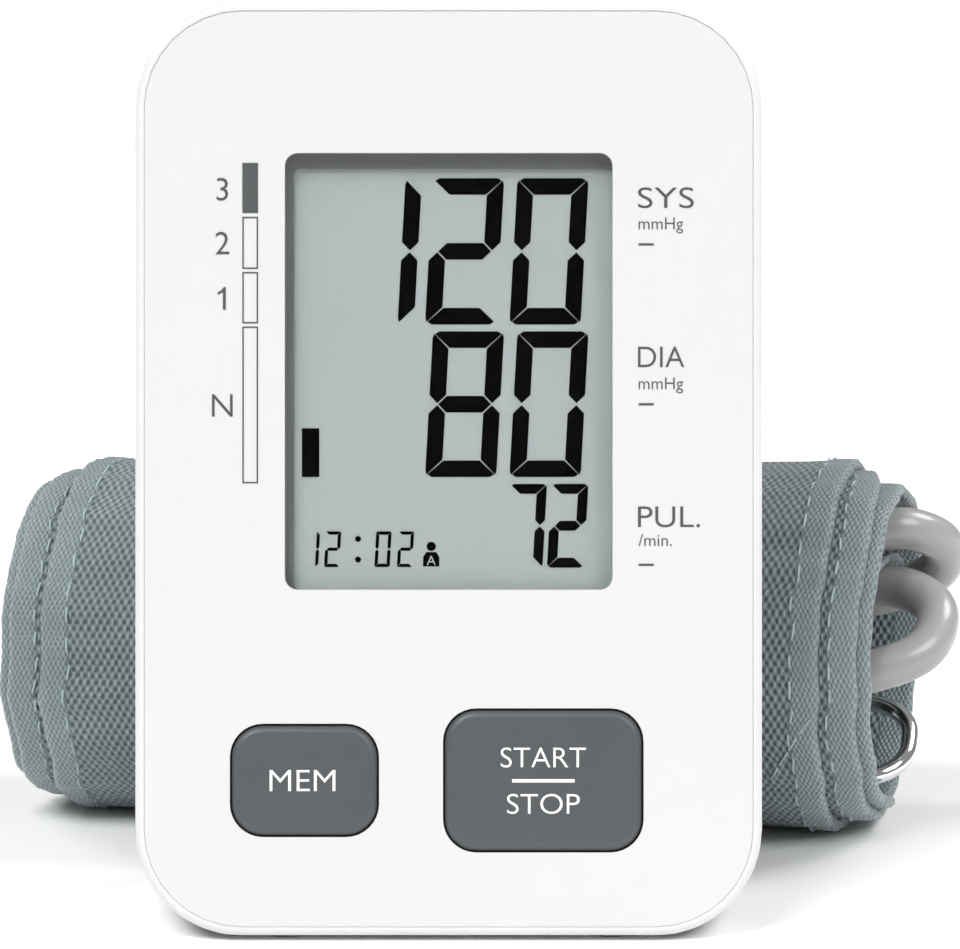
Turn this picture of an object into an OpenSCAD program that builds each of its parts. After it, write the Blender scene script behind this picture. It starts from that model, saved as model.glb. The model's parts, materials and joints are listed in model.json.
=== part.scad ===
// Upper arm blood pressure monitor. The monitor leans back on its own flat base. Its cuff lies behind it,
// rolled up, with the air tube folded inside the roll. Millimetres, +Z up, the floor at z = 0.

/* [Monitor body] */
// Width of the monitor's face
body_w = 100; // [98:1:110]
// Height of the monitor's face
body_h = 149; // [148:1:156]
// Corner radius of the face
corner_r = 17; // [12:1:20]
// Depth of the body at the base
depth_low = 44; // [43:1:47]
// Depth of the body at the top
depth_top = 35; // [34:1:38]
// Angle the face leans back from upright
lean = 11; // [8:1:13]
// Wall thickness of the casings
wall = 2; // [1.6:0.2:2.4]
// Depth of the front casing, up to the seam
seam_depth = 13; // [12.8:0.1:14]
// Width of the casing's rim around the face plate
rim = 1.4; // [1:0.1:2]

/* [Display] */
// Width of the window in the face
window_w = 52.3; // [50:0.1:54]
// Height of the window in the face
window_h = 69.7; // [66:0.1:71]
// Height of the window's lower edge on the face
window_low = 55.2; // [54:0.1:57]
// Band of the mask that shows along the window's top edge
mask_top = 2.4; // [1:0.1:4]
// Band of the mask that shows along the window's left edge
mask_left = 1.4; // [0.5:0.1:3]

/* [Buttons] */
// Width of the memory button
mem_w = 23.2; // [20:0.1:25]
// Height of the memory button
mem_h = 17.5; // [14:0.1:19]
// Width of the start and stop button
start_w = 31.4; // [28:0.1:34]
// Height of the start and stop button
start_h = 22.4; // [18:0.1:23]
// Height of both buttons' centres on the face
button_up = 24.8; // [24:0.1:27]
// Travel of a button
button_travel = 0.8; // [0.5:0.1:0.8]

/* [Power and air] */
// Diameter of a battery cell
cell_d = 14.2; // [13.8:0.1:14.5]
// Length of a battery cell, with its stud
cell_l = 50.4; // [49:0.1:50.5]
// Diameter of the pump motor
motor_d = 24; // [20:1:25]
// Radius of the bore in the air jack
jack_bore_r = 2.6; // [2.4:0.1:3]

/* [Cuff] */
// Width of the cuff's inner section, with its binding
cuff_w = 146; // [142:1:148]
// Width of the closing flap, with its binding
flap_w = 128; // [120:1:136]
// Radius of the hollow inside the roll
core_r = 24.1; // [23.9:0.1:25]
// Thickness of the folded cloth with its bladder
cloth_t = 1.7; // [1.6:0.1:1.7]
// Distance from one turn of the roll to the next
turn_pitch = 2; // [2:0.1:2.3]
// Angle of the roll across the back of the monitor
roll_yaw = 8; // [6:1:9]

/* [Air tube] */
// Outer diameter of the air tube
tube_d = 7.2; // [6.4:0.1:7.2]

/* [Hidden] */

// Layout: the floor under the monitor's front lower edge, and the roll from there
foot_h = 1;
monitor_x = -3.4;
monitor_y = -63.4;
roll_dx = 3;
roll_dy = 89;
roll_turns_deg = 922;
flap_start_deg = 560;
strip_start_deg = 262;
strip_step_deg = 10;
low_turn_deg = 712;
roll_low_r = core_r + turn_pitch * low_turn_deg / 360 + cloth_t;

// Small gaps and the fineness of round edges
gap = 0.3;
slip = 0.05;
over = 1;
arc_steps = 8;
$fn = 48;

// Layers behind the face, as depths from the front of the rim
plate_front = 0.15;
plate_back = 0.95;
lens_back = 1.95;
face_back = 2.95;
mask_back = 3.75;
lcd_front = 3.8;
lcd_back = 6.6;
board_front = 10;
board_back = 11.6;

// Display: the LCD panel and the ring that holds it
window_r = 2.1;
lens_lap = 2;
lcd_half = 29;
lcd_low = window_low - 2.2;
lcd_high = window_low + window_h + 2.1;
holder_lap = 3;
holder_r = 2;
opening_r = 1;
strip_w = 3;
strip_in = 1;

// Circuit board and what it carries, across and up the face
board_half = 36;
board_low = 11;
board_high = 136;
board_r = 2;
chip_x = -12;
chip_z = 96;
chip_w = 14;
chip_t = 1.6;
buzzer_x = 24;
buzzer_z = 58;
buzzer_r = 5;
buzzer_t = 5;

// Buttons
mem_x = -23;
start_x = 15.1;
button_r = 5;
button_proud = 0.6;
flange_lap = 1.4;
flange_front = 3.05;
flange_back = 4;
post_r = 3;
post_end = 5.3;
dome_front = 6.2;
mat_front = 8.6;
mat_half = 34;
mat_low = 18;
mat_high = 34;
mat_r = 2;
dome_r = 5;

// Fixings: places across the face, and radii
screw_spots = [[-41, 18], [41, 18], [-41, 132], [41, 132]];
board_spots = [[-32, 42], [32, 42], [-32, 133], [32, 133]];
boss_r = 3.2;
rear_boss_r = 4.2;
pilot_r = 1.1;
clear_r = 1.6;
head_r = 2.7;
head_hole_r = 3;
boss_floor = 16;
head_t = 1.8;
slot_half = 1.8;
slot_w = 0.7;
slot_deep = 0.8;
casing_screw_l = 8;
board_screw_l = 5;
board_head_r = 1.9;
board_head_t = 1.2;
board_boss_r = 2.5;
board_pilot_r = 0.9;
board_hole_r = 1;

// Feet, as places on the floor from the monitor's front lower edge
foot_r = 4;
foot_sink = 0.8;
foot_spots = [[-26, 7.2], [26, 7.2], [-36, 37], [36, 37]];

// Back of the body: the rear wall's slope and its lower edge
low_edge = depth_low * tan(lean);
back_slope = atan((depth_low - depth_top) / (body_h - low_edge));
base_edge_r = 2.5;
top_edge_r = 9;

// Battery compartment, from the rear wall's lower edge
tray_half = 31;
tray_low = 70;
tray_high = 128;
tray_deep = 18.5;
tray_wall = 1.2;
tray_r = 0.5;
seat_r = 3;
cover_lap = 2;
cover_end = 0.5;
hinge_up = tray_low - cover_lap - cover_end;
tab_t = 0.9;
tab_reach = 1.5;
tab_play = 0.2;
grip_half = 9;
grip_count = 4;
grip_pitch = 2;
grip_w = 1;
grip_deep = 0.6;
grip_in = 7;
ledge_lap = 4.5;
ledge_t = 1.2;
cover_t = wall;
cell_pitch = 14.8;
stud_l = 1.3;
stud_r = 2.6;
contact_t = 0.4;
contact_w = 10;
spring_l = 3.1;
spring_r0 = 4.4;
spring_r1 = 3;
cell_play = 0.7;
cell_side = 3.5;
cell_deep = cover_t + cell_play + cell_d / 2;
cell_low = tray_low + cell_side;
tab_x = 20;
tab_w = 8;

// Pump, valve, sensor and jack, as depth and height on the face
air_deep = 26;
pump_up = 30;
motor_x = -8;
motor_l = 26;
head_l = 14;
cavity_r = 8;
shaft_r = 1;
shaft_in = 1;
shaft_out = 7;
crank_r = 4;
crank_off = 1.2;
crank_in = 2;
crank_t = 3;
head_wall = 2;
diaphragm_in = 8;
diaphragm_t = 2;
valve_x = 0;
valve_l = 18;
valve_up = 60;
valve_r = 6.5;
valve_deep = air_deep - 2;
valve_floor = 3;
valve_nipple_r = 1.4;
nipple_r = 1.6;
nipple_l = 4;
plunger_r = 2;
plunger_in = 4.2;
plunger_out = 3;
line_up = 48;
hose_r = 2.5;
riser_off = 3;
sensor_x = -19;
sensor_half_x = 5;
sensor_half_z = 4;
sensor_t = 4;
sensor_pipe_r = 1.5;
jack_r = 4.5;
jack_l = 13;
collar_lap = 1.8;
collar_t = 1.6;
jack_nipple_r = 1.9;
jack_nipple_end = 22;
hose_start = 17;
jack_out = 0.4;
jack_deep = 10;
branch_x = -10;

// Cuff: cloth layers, from the inside of each turn
pocket_low = 0.5;
pocket_high = 1.2;
pocket_start_deg = 40;
pocket_end_deg = 360;
pocket_play_deg = 2;
loop_far_deg = 170;
hook_far_deg = 130;
tape_end_deg = 10;
bladder_play = 0.1;
bladder_half = 60;
tape_t = 0.4;
tape_half = 50;
binding_w = 4;

// Slide ring: the wire loop, from the roll's axis
wire_r = 1.5;
ring_left = -72;
ring_right = 75;
ring_bend = 5;
ring_w = 19;
ring_tilt = 29;
ring_y = -3;
ring_z = -20.9;
sleeve_r = 2.9;
sleeve_half = 58;

// Air tube: port, plug and route, from the roll's axis
port_x = -50;
port_l = 16;
port_r = 4.6;
pad_half = 7;
pad_lap = 3;
pad_turn_deg = 150;
plug_x = -38;
plug_grip_l = 16;
plug_grip_r = 5.2;
plug_nose_l = 11;
plug_nose_r = 2.5;
tube_sides = 10;
tube_route = [
    [-50, 0, 20], [-40, 0, 20], [-10, 0, 20.5], [30, 0, 21], [58, 0, 21], [68, 1, 21], [75, 3, 21],
    [80, 8.5, 17.5], [78.5, 14.5, 11.5], [69, 18.5, 6.5], [56, 19, 4.5], [30, 18.5, 4], [0, 18, 4],
    [-26, 18, 4], [-40, 17.5, 4], [-49, 14, 4.5], [-53, 6, 5], [-49, -2, 6], [-40, -6, 7],
    [-26, -6.5, 7], [0, -4, 7], [30, 1, 7.5], [56, 4, 9], [68, 4, 11], [76.5, 0.5, 10.5],
    [80.5, -6, 8], [78.5, -13, 3.5], [70, -17, 0.5], [58, -17.5, -1.5], [30, -17.5, -3],
    [0, -17.5, -4], [-28, -16.5, -5], [-38, -16.5, -5]
];
plug_y = -16.5;
plug_z = -5;

// ---- Placing ----

// Face frame: x across, y into the body, z up the face
module in_monitor() {
    translate([monitor_x, monitor_y, foot_h])
    rotate([-lean, 0, 0])
    children();
}

// Rear wall frame: y outwards from the rear wall, z up it
module in_back() {
    in_monitor()
    translate([0, depth_low, low_edge])
    rotate([back_slope, 0, 0])
    children();
}

// Roll frame: x along the roll's axis
module in_roll() {
    translate([monitor_x + roll_dx, monitor_y + roll_dy, roll_low_r])
    rotate([0, 0, -roll_yaw])
    children();
}

// ---- Outlines ----

function unit(v) = v / norm(v);

function turn_between(a, b) = let (d = b - a) d > 180 ? d - 360 : d < -180 ? d + 360 : d;

// Arc that rounds the corner at b between a and c
function round_corner(a, b, c, r) =
    let (
        u = unit(a - b),
        v = unit(c - b),
        half = acos(u * v) / 2,
        centre = b + unit(u + v) * r / sin(half),
        from = b + u * r / tan(half) - centre,
        to = b + v * r / tan(half) - centre,
        a0 = atan2(from.y, from.x),
        sweep = turn_between(a0, atan2(to.y, to.x))
    )
    [for (i = [0:arc_steps]) centre + r * [cos(a0 + sweep * i / arc_steps), sin(a0 + sweep * i / arc_steps)]];

// Outline with its corners rounded, a radius of 0 leaving a corner sharp
function rounded(points, radii) =
    let (n = len(points))
    [for (i = [0:n - 1])
        each radii[i] > 0
            ? round_corner(points[(i + n - 1) % n], points[i], points[(i + 1) % n], radii[i])
            : [points[i]]];

function box_points(x0, x1, z0, z1) = [[x0, z0], [x1, z0], [x1, z1], [x0, z1]];

// Upright plate with rounded corners, between two depths
module plate(x0, x1, z0, z1, r, y0, y1) {
    translate([0, y1, 0])
    rotate([90, 0, 0])
    linear_extrude(y1 - y0)
    polygon(rounded(box_points(x0, x1, z0, z1), [r, r, r, r]));
}

// Plate centred on a point of the face
module centred_plate(x, z, w, h, r, y0, y1) {
    plate(x - w / 2, x + w / 2, z - h / 2, z + h / 2, r, y0, y1);
}

module box(x0, x1, y0, y1, z0, z1) {
    translate([x0, y0, z0])
    cube([x1 - x0, y1 - y0, z1 - z0]);
}

// Round bar along the depth
module bar_y(x, z, r, y0, y1) {
    translate([x, y1, z])
    rotate([90, 0, 0])
    cylinder(r = r, h = y1 - y0);
}

// Round bar along the width
module bar_x(y, z, r, x0, x1) {
    translate([x0, y, z])
    rotate([0, 90, 0])
    cylinder(r = r, h = x1 - x0);
}

// ---- Body shape ----

// Side view of the body set in by t: base, rear wall, top and front
function side_points(t) =
    let (
        back_tan = tan(back_slope),
        base_z = t / cos(lean),
        low_y = (depth_low + (low_edge - base_z) * back_tan - t / cos(back_slope))
            / (1 + tan(lean) * back_tan),
        top_z = body_h - t,
        top_y = depth_low - (top_z - low_edge) * back_tan - t / cos(back_slope)
    )
    [[-over, base_z - over * tan(lean)], [low_y, low_y * tan(lean) + base_z], [top_y, top_z], [-over, top_z]];

// Body set in by t, between two depths from the face
module body_block(y0, y1, t) {
    intersection() {
        plate(-body_w / 2 + t, body_w / 2 - t, t, body_h - t, corner_r - t, y0, y1);
        translate([-body_w, 0, 0])
        rotate([90, 0, 90])
        linear_extrude(2 * body_w)
        polygon(rounded(side_points(t), [0, base_edge_r - t / 2, top_edge_r - t, 0]));
    }
}

module at_spots(spots) {
    for (p = spots)
        translate([p.x, 0, p.y])
        children();
}

module foot_discs(r, h) {
    for (p = foot_spots)
        translate([monitor_x + p.x, monitor_y + p.y, 0])
        cylinder(r = r, h = h);
}

// ---- Casings and face ----

module front_casing() {
    color("white")
    difference() {
        in_monitor()
        difference() {
            union() {
                difference() {
                    body_block(0, seam_depth, 0);
                    body_block(face_back, seam_depth + over, wall);
                }
                at_spots(screw_spots) bar_y(0, 0, boss_r, face_back - slip, seam_depth);
                at_spots(board_spots) bar_y(0, 0, board_boss_r, face_back - slip, board_front);
            }
            plate(-body_w / 2 + rim, body_w / 2 - rim, rim, body_h - rim, corner_r - rim, -over, plate_back);
            plate(
                -window_w / 2 - lens_lap, window_w / 2 + lens_lap, window_low - lens_lap,
                window_low + window_h + lens_lap, window_r + lens_lap, -over, lens_back
            );
            plate(
                -window_w / 2, window_w / 2, window_low, window_low + window_h, window_r, 0, face_back + slip
            );
            button_hole(mem_x, mem_w, mem_h);
            button_hole(start_x, start_w, start_h);
            at_spots(screw_spots) bar_y(0, 0, pilot_r, face_back + over, seam_depth + over);
            at_spots(board_spots) bar_y(0, 0, board_pilot_r, face_back + over, board_front + over);
        }
        foot_discs(foot_r + slip, foot_h + foot_sink);
    }
}

module button_hole(x, w, h) {
    centred_plate(x, button_up, w + 2 * gap, h + 2 * gap, button_r + gap, -over, face_back + slip);
}

module rear_casing() {
    color("white")
    difference() {
        union() {
            in_monitor()
            difference() {
                body_block(seam_depth, depth_low + over, 0);
                body_block(seam_depth - over, depth_low + over, wall);
            }
            in_monitor()
            intersection() {
                at_spots(screw_spots) bar_y(0, 0, rear_boss_r, seam_depth, depth_low);
                body_block(seam_depth, depth_low + over, slip);
            }
            in_back() tray_walls();
        }
        in_monitor() at_spots(screw_spots) bar_y(0, 0, clear_r, seam_depth - over, boss_floor + over);
        in_monitor() at_spots(screw_spots) bar_y(0, 0, head_hole_r, boss_floor, depth_low + over);
        in_monitor()
        bar_x(air_deep, line_up, jack_r + gap / 2, -body_w / 2 - over, -body_w / 2 + wall + over);
        in_back() tray_space();
        foot_discs(foot_r + slip, foot_h + foot_sink);
    }
}

// Battery compartment's walls, and the ledge under the cover's edge
module tray_walls() {
    plate(
        -tray_half - tray_wall, tray_half + tray_wall, tray_low - tray_wall, tray_high + tray_wall,
        2 * tray_r, -tray_deep - tray_wall, -wall - ledge_t / 2
    );
    plate(
        -tray_half - ledge_lap, tray_half + ledge_lap, tray_low - ledge_lap - over, tray_high + ledge_lap,
        seat_r, -wall - ledge_t, -wall + slip
    );
}

// Space for the cells, the cover's seat and the notches for its tabs
module tray_space() {
    plate(-tray_half, tray_half, tray_low, tray_high, tray_r, -tray_deep, over);
    plate(
        -tray_half - cover_lap - gap, tray_half + cover_lap + gap, hinge_up - gap,
        tray_high + cover_lap + cover_end + gap, seat_r, -wall, over
    );
    for (side = [-1, 1])
        box(
            side * tab_x - tab_w / 2 - gap, side * tab_x + tab_w / 2 + gap, -wall - ledge_t - over,
            -wall + slip, hinge_up - tab_reach - 2 * gap - slip, tray_low + slip
        );
}

module face_plate() {
    color("whitesmoke")
    in_monitor()
    difference() {
        plate(
            -body_w / 2 + rim + slip, body_w / 2 - rim - slip, rim + slip, body_h - rim - slip,
            corner_r - rim - slip, plate_front, plate_back
        );
        plate(-window_w / 2, window_w / 2, window_low, window_low + window_h, window_r, 0, face_back);
        button_hole(mem_x, mem_w, mem_h);
        button_hole(start_x, start_w, start_h);
    }
}

// ---- Display ----

module display_lens() {
    color("lightblue", 0.3)
    in_monitor()
    plate(
        -window_w / 2 - lens_lap + slip, window_w / 2 + lens_lap - slip, window_low - lens_lap + slip,
        window_low + window_h + lens_lap - slip, window_r + lens_lap, plate_back, lens_back
    );
}

module display_mask() {
    color("dimgray")
    in_monitor()
    difference() {
        plate(
            -lcd_half - holder_lap, lcd_half + holder_lap, lcd_low - holder_lap, lcd_high + holder_lap,
            holder_r, face_back, mask_back
        );
        plate(
            -window_w / 2 + mask_left, window_w / 2 + slip, window_low - slip,
            window_low + window_h - mask_top, opening_r, 0, mask_back + over
        );
    }
}

module lcd_panel() {
    color("lightslategray")
    in_monitor()
    box(-lcd_half, lcd_half, lcd_front, lcd_back, lcd_low, lcd_high);
}

module lcd_holder() {
    color("white")
    in_monitor()
    difference() {
        plate(
            -lcd_half - holder_lap, lcd_half + holder_lap, lcd_low - holder_lap, lcd_high + holder_lap,
            holder_r, mask_back, board_front - slip
        );
        box(-lcd_half - gap, lcd_half + gap, 0, board_front + over, lcd_low - gap, lcd_high + gap);
    }
}

// Rubber strips that join the LCD's edges to the board
module contact_strips() {
    color("darkorange")
    in_monitor()
    for (z = [lcd_low + strip_in, lcd_high - strip_in - strip_w])
        box(-lcd_half + strip_w, lcd_half - strip_w, lcd_back, board_front, z, z + strip_w);
}

// ---- Circuit ----

module circuit_board() {
    color("green")
    in_monitor()
    difference() {
        plate(-board_half, board_half, board_low, board_high, board_r, board_front, board_back);
        at_spots(board_spots) bar_y(0, 0, board_hole_r, board_front - over, board_back + over);
    }
}

module controller_chip() {
    color("black")
    in_monitor()
    box(chip_x, chip_x + chip_w, board_back, board_back + chip_t, chip_z, chip_z + chip_w);
}

module buzzer() {
    color("black")
    in_monitor()
    bar_y(buzzer_x, buzzer_z, buzzer_r, board_back, board_back + buzzer_t);
}

module keypad_mat() {
    color("gray")
    in_monitor() {
        plate(-mat_half, mat_half, mat_low, mat_high, mat_r, mat_front, board_front);
        for (x = [mem_x, start_x])
            bar_y(x, button_up, dome_r, dome_front, mat_front);
    }
}

module mem_button() {
    color("dimgray")
    in_monitor()
    button(mem_x, mem_w, mem_h);
}

module start_button() {
    color("dimgray")
    in_monitor()
    button(start_x, start_w, start_h);
}

// Key cap, its flange behind the face and the post over its contact dome
module button(x, w, h) {
    centred_plate(x, button_up, w, h, button_r, -button_proud, flange_back);
    centred_plate(
        x, button_up, w + 2 * flange_lap, h + 2 * flange_lap, button_r + flange_lap, flange_front, flange_back
    );
    bar_y(x, button_up, post_r, flange_back - slip, post_end);
}

// ---- Battery compartment ----

module battery_cover() {
    color("white")
    in_back()
    difference() {
        union() {
            plate(
                -tray_half - cover_lap, tray_half + cover_lap, hinge_up, tray_high + cover_lap + cover_end,
                seat_r - gap, -cover_t, 0
            );
            for (side = [-1, 1])
                cover_tab(side * tab_x);
        }
        for (i = [0:grip_count - 1])
            grip_groove(tray_high - grip_in + i * grip_pitch);
    }
}

module grip_groove(z) {
    box(-grip_half, grip_half, -grip_deep, over, z, z + grip_w);
}

// Tab under the rear wall at the cover's lower edge, its end round about the edge it turns on
module cover_tab(x) {
    box(x - tab_w / 2, x + tab_w / 2, -cover_t - tab_t, -cover_t + slip, hinge_up, tray_low + over);
    intersection() {
        bar_x(0, hinge_up, cover_t + tab_t, x - tab_w / 2, x + tab_w / 2);
        box(
            x - tab_w / 2, x + tab_w / 2, -cover_t - tab_t - over, -cover_t - tab_play,
            hinge_up - tab_reach - over, hinge_up + over
        );
    }
}

// Draws a cell's end pieces, turned over for every other cell
module at_cells() {
    for (i = [0:3])
        translate([(i - 1.5) * cell_pitch, -cell_deep, cell_low + cell_l / 2])
        rotate([i % 2 == 0 ? 0 : 180, 0, 0])
        translate([0, 0, -cell_l / 2])
        children();
}

module batteries() {
    color("goldenrod")
    in_back()
    at_cells() {
        cylinder(r = cell_d / 2, h = cell_l - stud_l);
        cylinder(r = stud_r, h = cell_l);
    }
}

// Spring at each cell's flat end and plate at its stud
module battery_contacts() {
    color("silver")
    in_back()
    at_cells() {
        translate([0, 0, -spring_l])
        cylinder(r1 = spring_r0, r2 = spring_r1, h = spring_l - slip);
        for (z = [-spring_l - contact_t, cell_l + slip])
            translate([-contact_w / 2, -contact_w / 2, z])
            cube([contact_w, contact_w, contact_t]);
    }
}

// ---- Air system ----

module pump_motor() {
    color("silver")
    in_monitor()
    difference() {
        bar_x(air_deep, pump_up, motor_d / 2, motor_x, motor_x + motor_l);
        bar_x(air_deep, pump_up, shaft_r + slip, motor_x - over, motor_x + motor_l + over);
    }
}

module motor_shaft() {
    color("gray")
    in_monitor() {
        crank_x = motor_x + motor_l + crank_in;
        bar_x(air_deep, pump_up, shaft_r, motor_x + shaft_in, motor_x + motor_l + shaft_out);
        bar_x(air_deep + crank_off, pump_up, crank_r, crank_x, crank_x + crank_t);
    }
}

module pump_head() {
    head_x = motor_x + motor_l;
    color("black")
    in_monitor()
    difference() {
        union() {
            box(
                head_x, head_x + head_l, air_deep - motor_d / 2, air_deep + motor_d / 2,
                pump_up - motor_d / 2, pump_up + motor_d / 2
            );
            bar_x(air_deep, pump_up, nipple_r, head_x + head_l - slip, head_x + head_l + nipple_l);
        }
        bar_x(air_deep, pump_up, cavity_r, head_x - over, head_x + head_l - head_wall);
    }
}

module pump_diaphragm() {
    disc_x = motor_x + motor_l + diaphragm_in;
    color("darkgray")
    in_monitor()
    bar_x(air_deep, pump_up, cavity_r - slip, disc_x, disc_x + diaphragm_t);
}

module exhaust_valve() {
    color("silver")
    in_monitor()
    difference() {
        union() {
            bar_x(valve_deep, valve_up, valve_r, valve_x, valve_x + valve_l);
            bar_x(valve_deep, valve_up, valve_nipple_r, valve_x - nipple_l, valve_x + slip);
        }
        bar_x(valve_deep, valve_up, plunger_r + slip, valve_x + valve_floor, valve_x + valve_l + over);
    }
}

module valve_plunger() {
    color("gray")
    in_monitor()
    bar_x(valve_deep, valve_up, plunger_r, valve_x + plunger_in, valve_x + valve_l + plunger_out);
}

module pressure_sensor() {
    color("black")
    in_monitor() {
        box(
            sensor_x - sensor_half_x, sensor_x + sensor_half_x, board_back, board_back + sensor_t,
            line_up - sensor_half_z, line_up + sensor_half_z
        );
        bar_y(sensor_x, line_up, sensor_pipe_r, board_back + sensor_t - slip, air_deep - hose_r);
    }
}

// Hose from the pump past the sensor to the jack, with a branch to the valve
module air_hoses() {
    pump_end = motor_x + motor_l + head_l + nipple_l;
    riser_x = pump_end + riser_off;
    color("lightgray")
    in_monitor()
    difference() {
        union() {
            bar_x(air_deep, pump_up, hose_r, pump_end - nipple_l + 4 * slip, riser_x);
            translate([riser_x, air_deep, pump_up])
            cylinder(r = hose_r + slip, h = line_up - pump_up);
            bar_x(air_deep, line_up, hose_r, -body_w / 2 + hose_start, riser_x);
            for (z = [pump_up, line_up])
                translate([riser_x, air_deep, z])
                sphere(r = hose_r + 2 * slip);
            translate([branch_x, air_deep, line_up])
            cylinder(r = hose_r - slip, h = valve_up - line_up + over);
            bar_x(valve_deep, valve_up, hose_r - 2 * slip, branch_x, valve_x - gap);
        }
        bar_x(air_deep, pump_up, nipple_r, pump_end - nipple_l - over, pump_end);
        bar_x(valve_deep, valve_up, valve_nipple_r, valve_x - nipple_l, valve_x + over);
        bar_x(
            air_deep, line_up, jack_nipple_r, -body_w / 2 + hose_start - over, -body_w / 2 + jack_nipple_end
        );
        bar_y(sensor_x, line_up, sensor_pipe_r, 0, air_deep - over);
    }
}

module air_jack() {
    left_x = -body_w / 2;
    color("gray")
    in_monitor()
    difference() {
        union() {
            bar_x(air_deep, line_up, jack_r, left_x - jack_out, left_x + jack_l);
            bar_x(air_deep, line_up, jack_r + collar_lap, left_x + wall + slip, left_x + wall + collar_t);
            bar_x(air_deep, line_up, jack_nipple_r, left_x + jack_l - over, left_x + jack_nipple_end);
        }
        bar_x(air_deep, line_up, jack_bore_r, left_x - over, left_x - jack_out + jack_deep);
    }
}

// ---- Feet and screws ----

module rubber_feet() {
    color("darkgray")
    foot_discs(foot_r, foot_h + foot_sink);
}

module casing_screws() {
    color("silver")
    in_monitor()
    at_spots(screw_spots)
    difference() {
        union() {
            bar_y(0, 0, pilot_r, seam_depth - casing_screw_l, boss_floor + slip);
            bar_y(0, 0, head_r, boss_floor, boss_floor + head_t);
        }
        head_slot(slot_half, slot_w / 2);
        head_slot(slot_w / 2, slot_half);
    }
}

// One arm of the cross in a screw's head
module head_slot(across, up) {
    box(-across, across, boss_floor + head_t - slot_deep, boss_floor + head_t + over, -up, up);
}

module board_screws() {
    color("silver")
    in_monitor()
    at_spots(board_spots) {
        bar_y(0, 0, board_pilot_r, board_front - board_screw_l, board_back + slip);
        bar_y(0, 0, board_head_r, board_back, board_back + board_head_t);
    }
}

// ---- Cuff ----

function turn_r(a) = core_r + turn_pitch * a / 360;

function turn_point(a, lift) = (turn_r(a) + lift) * [cos(strip_start_deg - a), sin(strip_start_deg - a)];

// Layer of the rolled strip from turn angle a0 to a1, between two lifts from its inner face
function strip_points(a0, a1, lift0, lift1) =
    let (n = ceil((a1 - a0) / strip_step_deg), d = (a1 - a0) / n)
    concat(
        [for (i = [0:n]) turn_point(a0 + i * d, lift0)],
        [for (i = [n:-1:0]) turn_point(a0 + i * d, lift1)]
    );

module strip(a0, a1, lift0, lift1, x0, x1) {
    translate([x0, 0, 0])
    rotate([90, 0, 90])
    linear_extrude(x1 - x0)
    polygon(strip_points(a0, a1, lift0, lift1));
}

module cuff_cover() {
    half = cuff_w / 2 - binding_w;
    color("cadetblue")
    in_roll()
    difference() {
        strip(0, flap_start_deg, 0, cloth_t, -half, half);
        strip(pocket_start_deg, pocket_end_deg, pocket_low, pocket_high, -bladder_half, bladder_half);
        strip(
            flap_start_deg - loop_far_deg, flap_start_deg - tape_end_deg, cloth_t - tape_t, cloth_t + gap / 2,
            -tape_half, tape_half
        );
    }
}

module cuff_flap() {
    half = flap_w / 2 - binding_w;
    color("cadetblue")
    in_roll()
    difference() {
        strip(flap_start_deg, roll_turns_deg, 0, cloth_t, -half, half);
        strip(
            roll_turns_deg - hook_far_deg, roll_turns_deg - tape_end_deg, -gap / 2, tape_t, -tape_half,
            tape_half
        );
    }
}

module air_bladder() {
    color("darkslategray")
    in_roll()
    strip(
        pocket_start_deg + pocket_play_deg, pocket_end_deg - pocket_play_deg, pocket_low + bladder_play,
        pocket_high - bladder_play, -bladder_half + over, bladder_half - over
    );
}

module hook_tape() {
    color("slategray")
    in_roll()
    strip(roll_turns_deg - hook_far_deg, roll_turns_deg - tape_end_deg, 0, tape_t, -tape_half, tape_half);
}

module loop_panel() {
    color("slategray")
    in_roll()
    strip(
        flap_start_deg - loop_far_deg, flap_start_deg - tape_end_deg, cloth_t - tape_t, cloth_t, -tape_half,
        tape_half
    );
}

// Sewn edge strips on both sides of the inner section and of the flap
module edge_binding() {
    color("darkcyan")
    in_roll()
    for (side = [-1, 1]) {
        binding_piece(0, flap_start_deg, side, cuff_w);
        binding_piece(flap_start_deg, roll_turns_deg, side, flap_w);
    }
}

module binding_piece(a0, a1, side, w) {
    outer = side * w / 2;
    inner = side * (w / 2 - binding_w);
    strip(a0, a1, 0, cloth_t, min(inner, outer), max(inner, outer));
}

module d_ring_sleeve() {
    color("cadetblue")
    in_roll()
    difference() {
        bar_x(ring_y, ring_z, sleeve_r, -sleeve_half, sleeve_half);
        bar_x(ring_y, ring_z, wire_r + slip, -sleeve_half - over, sleeve_half + over);
    }
}

// Long wire loop: the lower bar turns in the sleeve
module d_ring() {
    color("silver")
    in_roll()
    translate([0, ring_y, ring_z])
    rotate([ring_tilt, 0, 0]) {
        for (y = [0, ring_w])
            bar_x(y, 0, wire_r, ring_left + ring_bend, ring_right - ring_bend);
        for (x = [ring_left, ring_right])
            translate([x, ring_bend, 0])
            rotate([-90, 0, 0])
            cylinder(r = wire_r, h = ring_w - 2 * ring_bend);
        ring_corner(ring_right - ring_bend, ring_w - ring_bend, 0);
        ring_corner(ring_left + ring_bend, ring_w - ring_bend, 90);
        ring_corner(ring_left + ring_bend, ring_bend, 180);
        ring_corner(ring_right - ring_bend, ring_bend, 270);
    }
}

module ring_corner(x, y, a) {
    translate([x, y, 0])
    rotate([0, 0, a])
    rotate_extrude(angle = 90)
    translate([ring_bend, 0])
    circle(r = wire_r);
}

// ---- Air tube ----

// Moulded boot on the cloth that the tube leaves from
module tube_port() {
    color("gray")
    in_roll() {
        bar_x(0, tube_route[0].z, port_r, port_x - port_l, port_x);
        intersection() {
            box(
                port_x - port_l - pad_lap, port_x - over, -pad_half, pad_half, tube_route[0].z + cloth_t,
                core_r + turn_pitch
            );
            bar_x(0, 0, turn_r(pad_turn_deg), port_x - port_l - pad_lap - over, port_x);
        }
    }
}

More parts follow.
